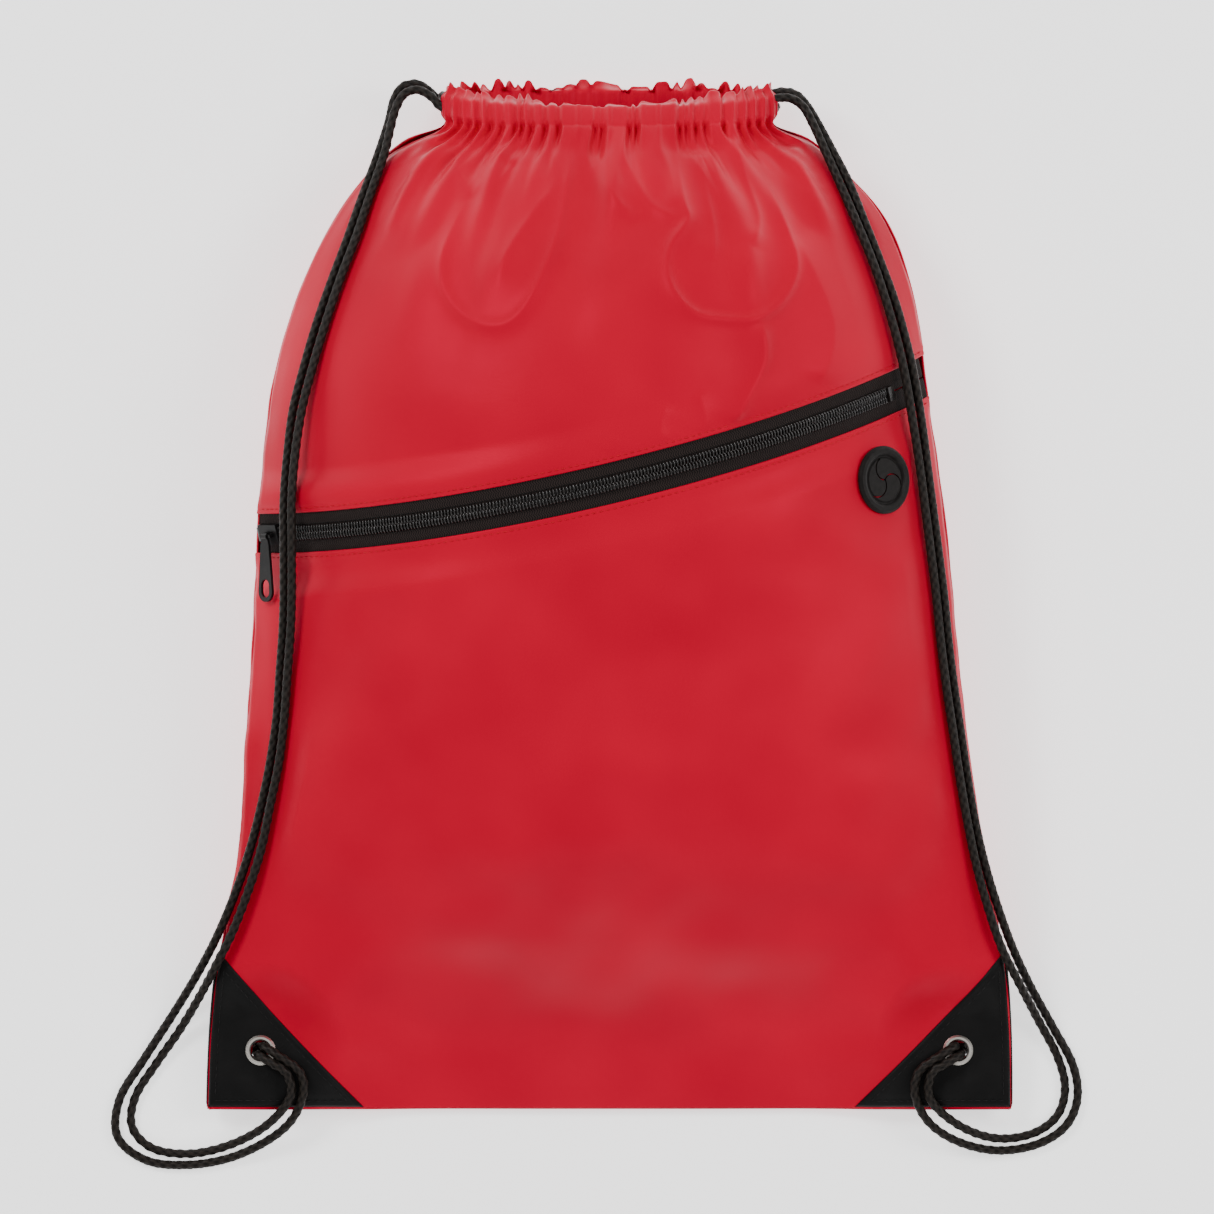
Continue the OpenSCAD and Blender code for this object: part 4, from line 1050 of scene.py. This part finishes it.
def corner_patch(name, side, front, node):
    """A coated triangle in a bottom corner, following the cloth under it, with rounded edges."""
    n = PATCH_CELLS
    cells = [(i, j) for i in range(n + 1) for j in range(n + 1 - i)]
    index = {cell: k for k, cell in enumerate(cells)}
    at = np.array(cells) / n
    p, folds = patch_point(side, front, at)
    along = patch_point(side, front, at, 0.004)[0] - patch_point(side, front, at, -0.004)[0]
    up = patch_point(side, front, at, up=0.35)[0] - patch_point(side, front, at, up=-0.35)[0]
    normal = unit(np.cross(along, up)) * (1 if front else -1)
    edge = np.minimum(np.minimum(at[:, 0], at[:, 1]), 1 - at[:, 0] - at[:, 1]) * PATCH_LEG
    hole = from_grommet(p[:, 0], p[:, 1])
    top = 0.25 + 0.95 * np.sqrt(np.clip(edge / 0.9, 0, 1))
    crease = 0.28 * soft_waves(p[:, 0], p[:, 1], 16, 71 + side)
    crease = crease * fade(0, 12, edge) * fade(8, 14, hole)
    groove = -0.35 * np.exp(-((edge - PATCH_STITCH_INSET) / 0.7) ** 2)
    outer = p + (folds + top + crease + groove)[:, None] * normal
    inner = p + (folds + 0.1)[:, None] * normal
    size = len(p)
    skin = []
    faces, edges = patch_faces(index, hole > PATCH_HOLE_R)
    for a, b, c in faces:
        skin += [(a, b, c), (c + size, b + size, a + size)]
    skin += [(a, a + size, b + size, b) for a, b in edges]
    if (side > 0) == front:
        skin = [face[::-1] for face in skin]
    piece = make_piece(name, np.concatenate([outer, inner]), skin, LEATHER,
                       uv=np.concatenate([at, at]) * PATCH_LEG * MM, slot="coated_patch")
    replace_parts(piece, node)
    inset = PATCH_STITCH_INSET / PATCH_LEG
    corners = np.array([(inset, inset), (1 - 2.4 * inset, inset), (inset, 1 - 2.4 * inset)])
    f = np.linspace(0, 1, 90)[:, None]
    for k in range(3):
        line = corners[k] * (1 - f) + corners[(k + 1) % 3] * f
        points, rises = patch_point(side, front, line)
        out = normal[[np.argmin(((at - place) ** 2).sum(1)) for place in line]]
        stitches(f"{name}_stitches_{k}", points + (rises + 0.95)[:, None] * out, out, 2.6, 0.8, 0.26,
                 BLACK_THREAD)


# ---- Zip ----

ZIP_INSET = 2.2  # From a side seam to the end of the tape
TAPE_START = zip_angle(ZIP_LEFT) + arc_degrees(ZIP_INSET)
TAPE_END = zip_angle(ZIP_RIGHT) - arc_degrees(ZIP_INSET)
TAPE_THICK = 0.45
TAPE_TRIM = 2.0  # The upper tape's start is cut at a slant, within the side seam
COIL_PITCH = 1.5
COIL_MIDDLE, COIL_HALF = 1.52, 1.70  # Across the zip
COIL_HEIGHT, COIL_RISE = 1.12, 0.76
COIL_SLANT = 0.35
WIRE_R = 0.36


def zip_tape(name, side, node):
    """Half of the woven tape, with a low ridge along it."""
    angle = np.linspace(TAPE_START, TAPE_END, 500)
    across = side * np.array([0.3, 0.9, 1.5, 3.5, 3.8, 4.1, 6.0, 8.0, 10.0, TAPE_HALF])
    height = np.array([-0.35, -0.05, 0.0, 0.0, 0.12, 0.0, 0.0, 0.0, 0.0, 0.0])
    a, c = np.meshgrid(angle, across, indexing="ij")
    trim = arc_degrees(TAPE_TRIM) * fade(6, TAPE_HALF, c)
    a = a + trim * (TAPE_END - a) / (TAPE_END - TAPE_START)
    grid = on_zip(a, np.broadcast_to(height, a.shape) - 0.02, c)
    if side < 0:
        grid, c = grid[:, ::-1], c[:, ::-1]
    uv = np.stack([a * math.pi / 180 * TAPE_R, c], -1) * MM
    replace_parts(fabric_piece(name, grid, uv, TAPE, TAPE_THICK, "zip_tape"), node)


def coil_ends():
    """Angles between which the coil runs, from the stops' boxes."""
    stops = []
    for node in ("zip_top_stop", "zip_bottom_stop"):
        low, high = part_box(node)
        stops.append(zip_angle(np.array((low + high) / 2) / MM))
    return stops[0] + arc_degrees(1.6), stops[1] - arc_degrees(2.2)


def zip_coil(name, side, node):
    """One half of the coil: a flattened helix of nylon wire sewn to the tape's edge."""
    first, last = coil_ends()
    steps = 12
    turns = int(math.radians(last - first) * TAPE_R / COIL_PITCH)
    k = np.arange(turns * steps + 1)
    turn = 2 * math.pi * k / steps
    angle = first + np.degrees((k / steps + (0.5 if side > 0 else 0.0)) * COIL_PITCH / TAPE_R)
    slant = np.degrees(COIL_SLANT * np.cos(turn) / TAPE_R)
    across = side * (COIL_MIDDLE + COIL_HALF * np.cos(turn))
    path = on_zip(angle + slant, COIL_HEIGHT + COIL_RISE * np.sin(turn), across)
    points, faces = swept_tube(path, WIRE_R, 6)
    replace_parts(make_piece(name, points, faces, COIL, slot="coil"), node)


def coil_threads():
    """Thread that sews each half of the coil to its tape, over the coil and beside it."""
    angle = np.linspace(*coil_ends(), 900)
    for side, name in ((1, "upper"), (-1, "lower")):
        for row, (across, height) in enumerate(((2.0, 1.75), (3.75, 0.1))):
            line = on_zip(angle, np.full(900, height), np.full(900, side * across))
            n = unit(line - ZIP_CENTRE - across_zip(line)[:, None] * ZIP_AXIS)
            stitches(f"coil_thread_{name}_{row}", line, n, 1.9, 0.6, 0.16, BLACK_THREAD)


# ---- Knots ----


KNOT_HEIGHT, KNOT_SIZE, KNOT_DEPTH = 4.3, 1.45, 1.75
KNOT_R, KNOT_END_R = 1.9, 1.95


def knot(side, node):
    """An overhand knot behind the grommet, with the two strands that come down to it."""
    f = np.linspace(0, 2 * math.pi, 140)
    loop = np.stack([
        KNOT_SIZE * (np.sin(f) + 2 * np.sin(2 * f)),
        KNOT_SIZE * (np.cos(f) - 2 * np.cos(2 * f)),
        -KNOT_DEPTH * np.sin(3 * f)], 1)
    strands = [(loop + (side * GROMMET[0], GROMMET[1], KNOT_HEIGHT), 90, KNOT_R)]
    for k in (-1, 1):
        x, y = side * (GROMMET[0] + k * 1.1), GROMMET[1] - k * 1.9
        path = np.stack([np.full(24, x), np.full(24, y), np.linspace(5, 17.4, 24)], 1)
        strands.append((path, 12, KNOT_END_R))
    tubes, heights = [], []
    for path, length, radius in strands:
        radii = braid_radii(np.linspace(0, length, len(path)), 16, radius)
        tubes.append(swept_tube(path, radii, 16))
        heights.append(strand_heights(radii, radius).ravel())
    points, faces = joined(tubes)
    piece = make_piece(f"cord_knot_{node}", points, faces, YARN, uv=points[:, :2] * MM, slot="cord",
                       strand_height=np.concatenate(heights))
    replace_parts(piece, node)
    return piece


# ---- Build ----

add_camera()
add_lights()

cords = {name: braided_cord(name + "_braid", spline(route, 10), name) for name, route in ROUTES.items()}
for side, name in ((-1, "cord_hem_left"), (1, "cord_hem_right")):
    there = [casing_point(True, -side * a, side * 2.4) for a in np.arange(-70, 85, 8.0)]
    home = [casing_point(False, -side * a, side * 2.4) for a in np.arange(90, -71, -8.0)]
    braided_cord(name + "_braid", spline(there + home, 6), name)
knots = {side: knot(side, name) for side, name in ((-1, "knot_left"), (1, "knot_right"))}
for name, (piece, path) in cords.items():
    side = -1 if "left" in name else 1

upper_front()
pocket_panel()
back_panel()
pocket_lining()
panel_stitches()
for side, word in ((-1, "left"), (1, "right")):
    corner_patch(f"corner_front_{word}", side, True, f"patch_front_{word}")
    corner_patch(f"corner_back_{word}", side, False, f"patch_back_{word}")
for make, word in ((zip_tape, "tape"), (zip_coil, "coil")):
    for side, half in ((1, "upper"), (-1, "lower")):
        make(f"{word}_{half}", side, f"zip_{word}_{half}")
coil_threads()

for material, nodes in (
        (RUBBER, ["cable_port"]), (ENAMEL, ["zip_slider", "zip_puller"]),
        (COIL, ["zip_top_stop", "zip_bottom_stop"]),
        (NICKEL, ["grommet_left", "grommet_right", "grommet_washer_left", "grommet_washer_right"])):
    for node in nodes:
        data = frame["nodes"][node].data
        data.materials.clear()
        data.materials.append(material)

bpy.ops.mesh.primitive_plane_add(size=12, location=(0, 0, 0))
floor = bpy.context.object
floor.name = "floor"
floor.data.materials.append(FLOOR)
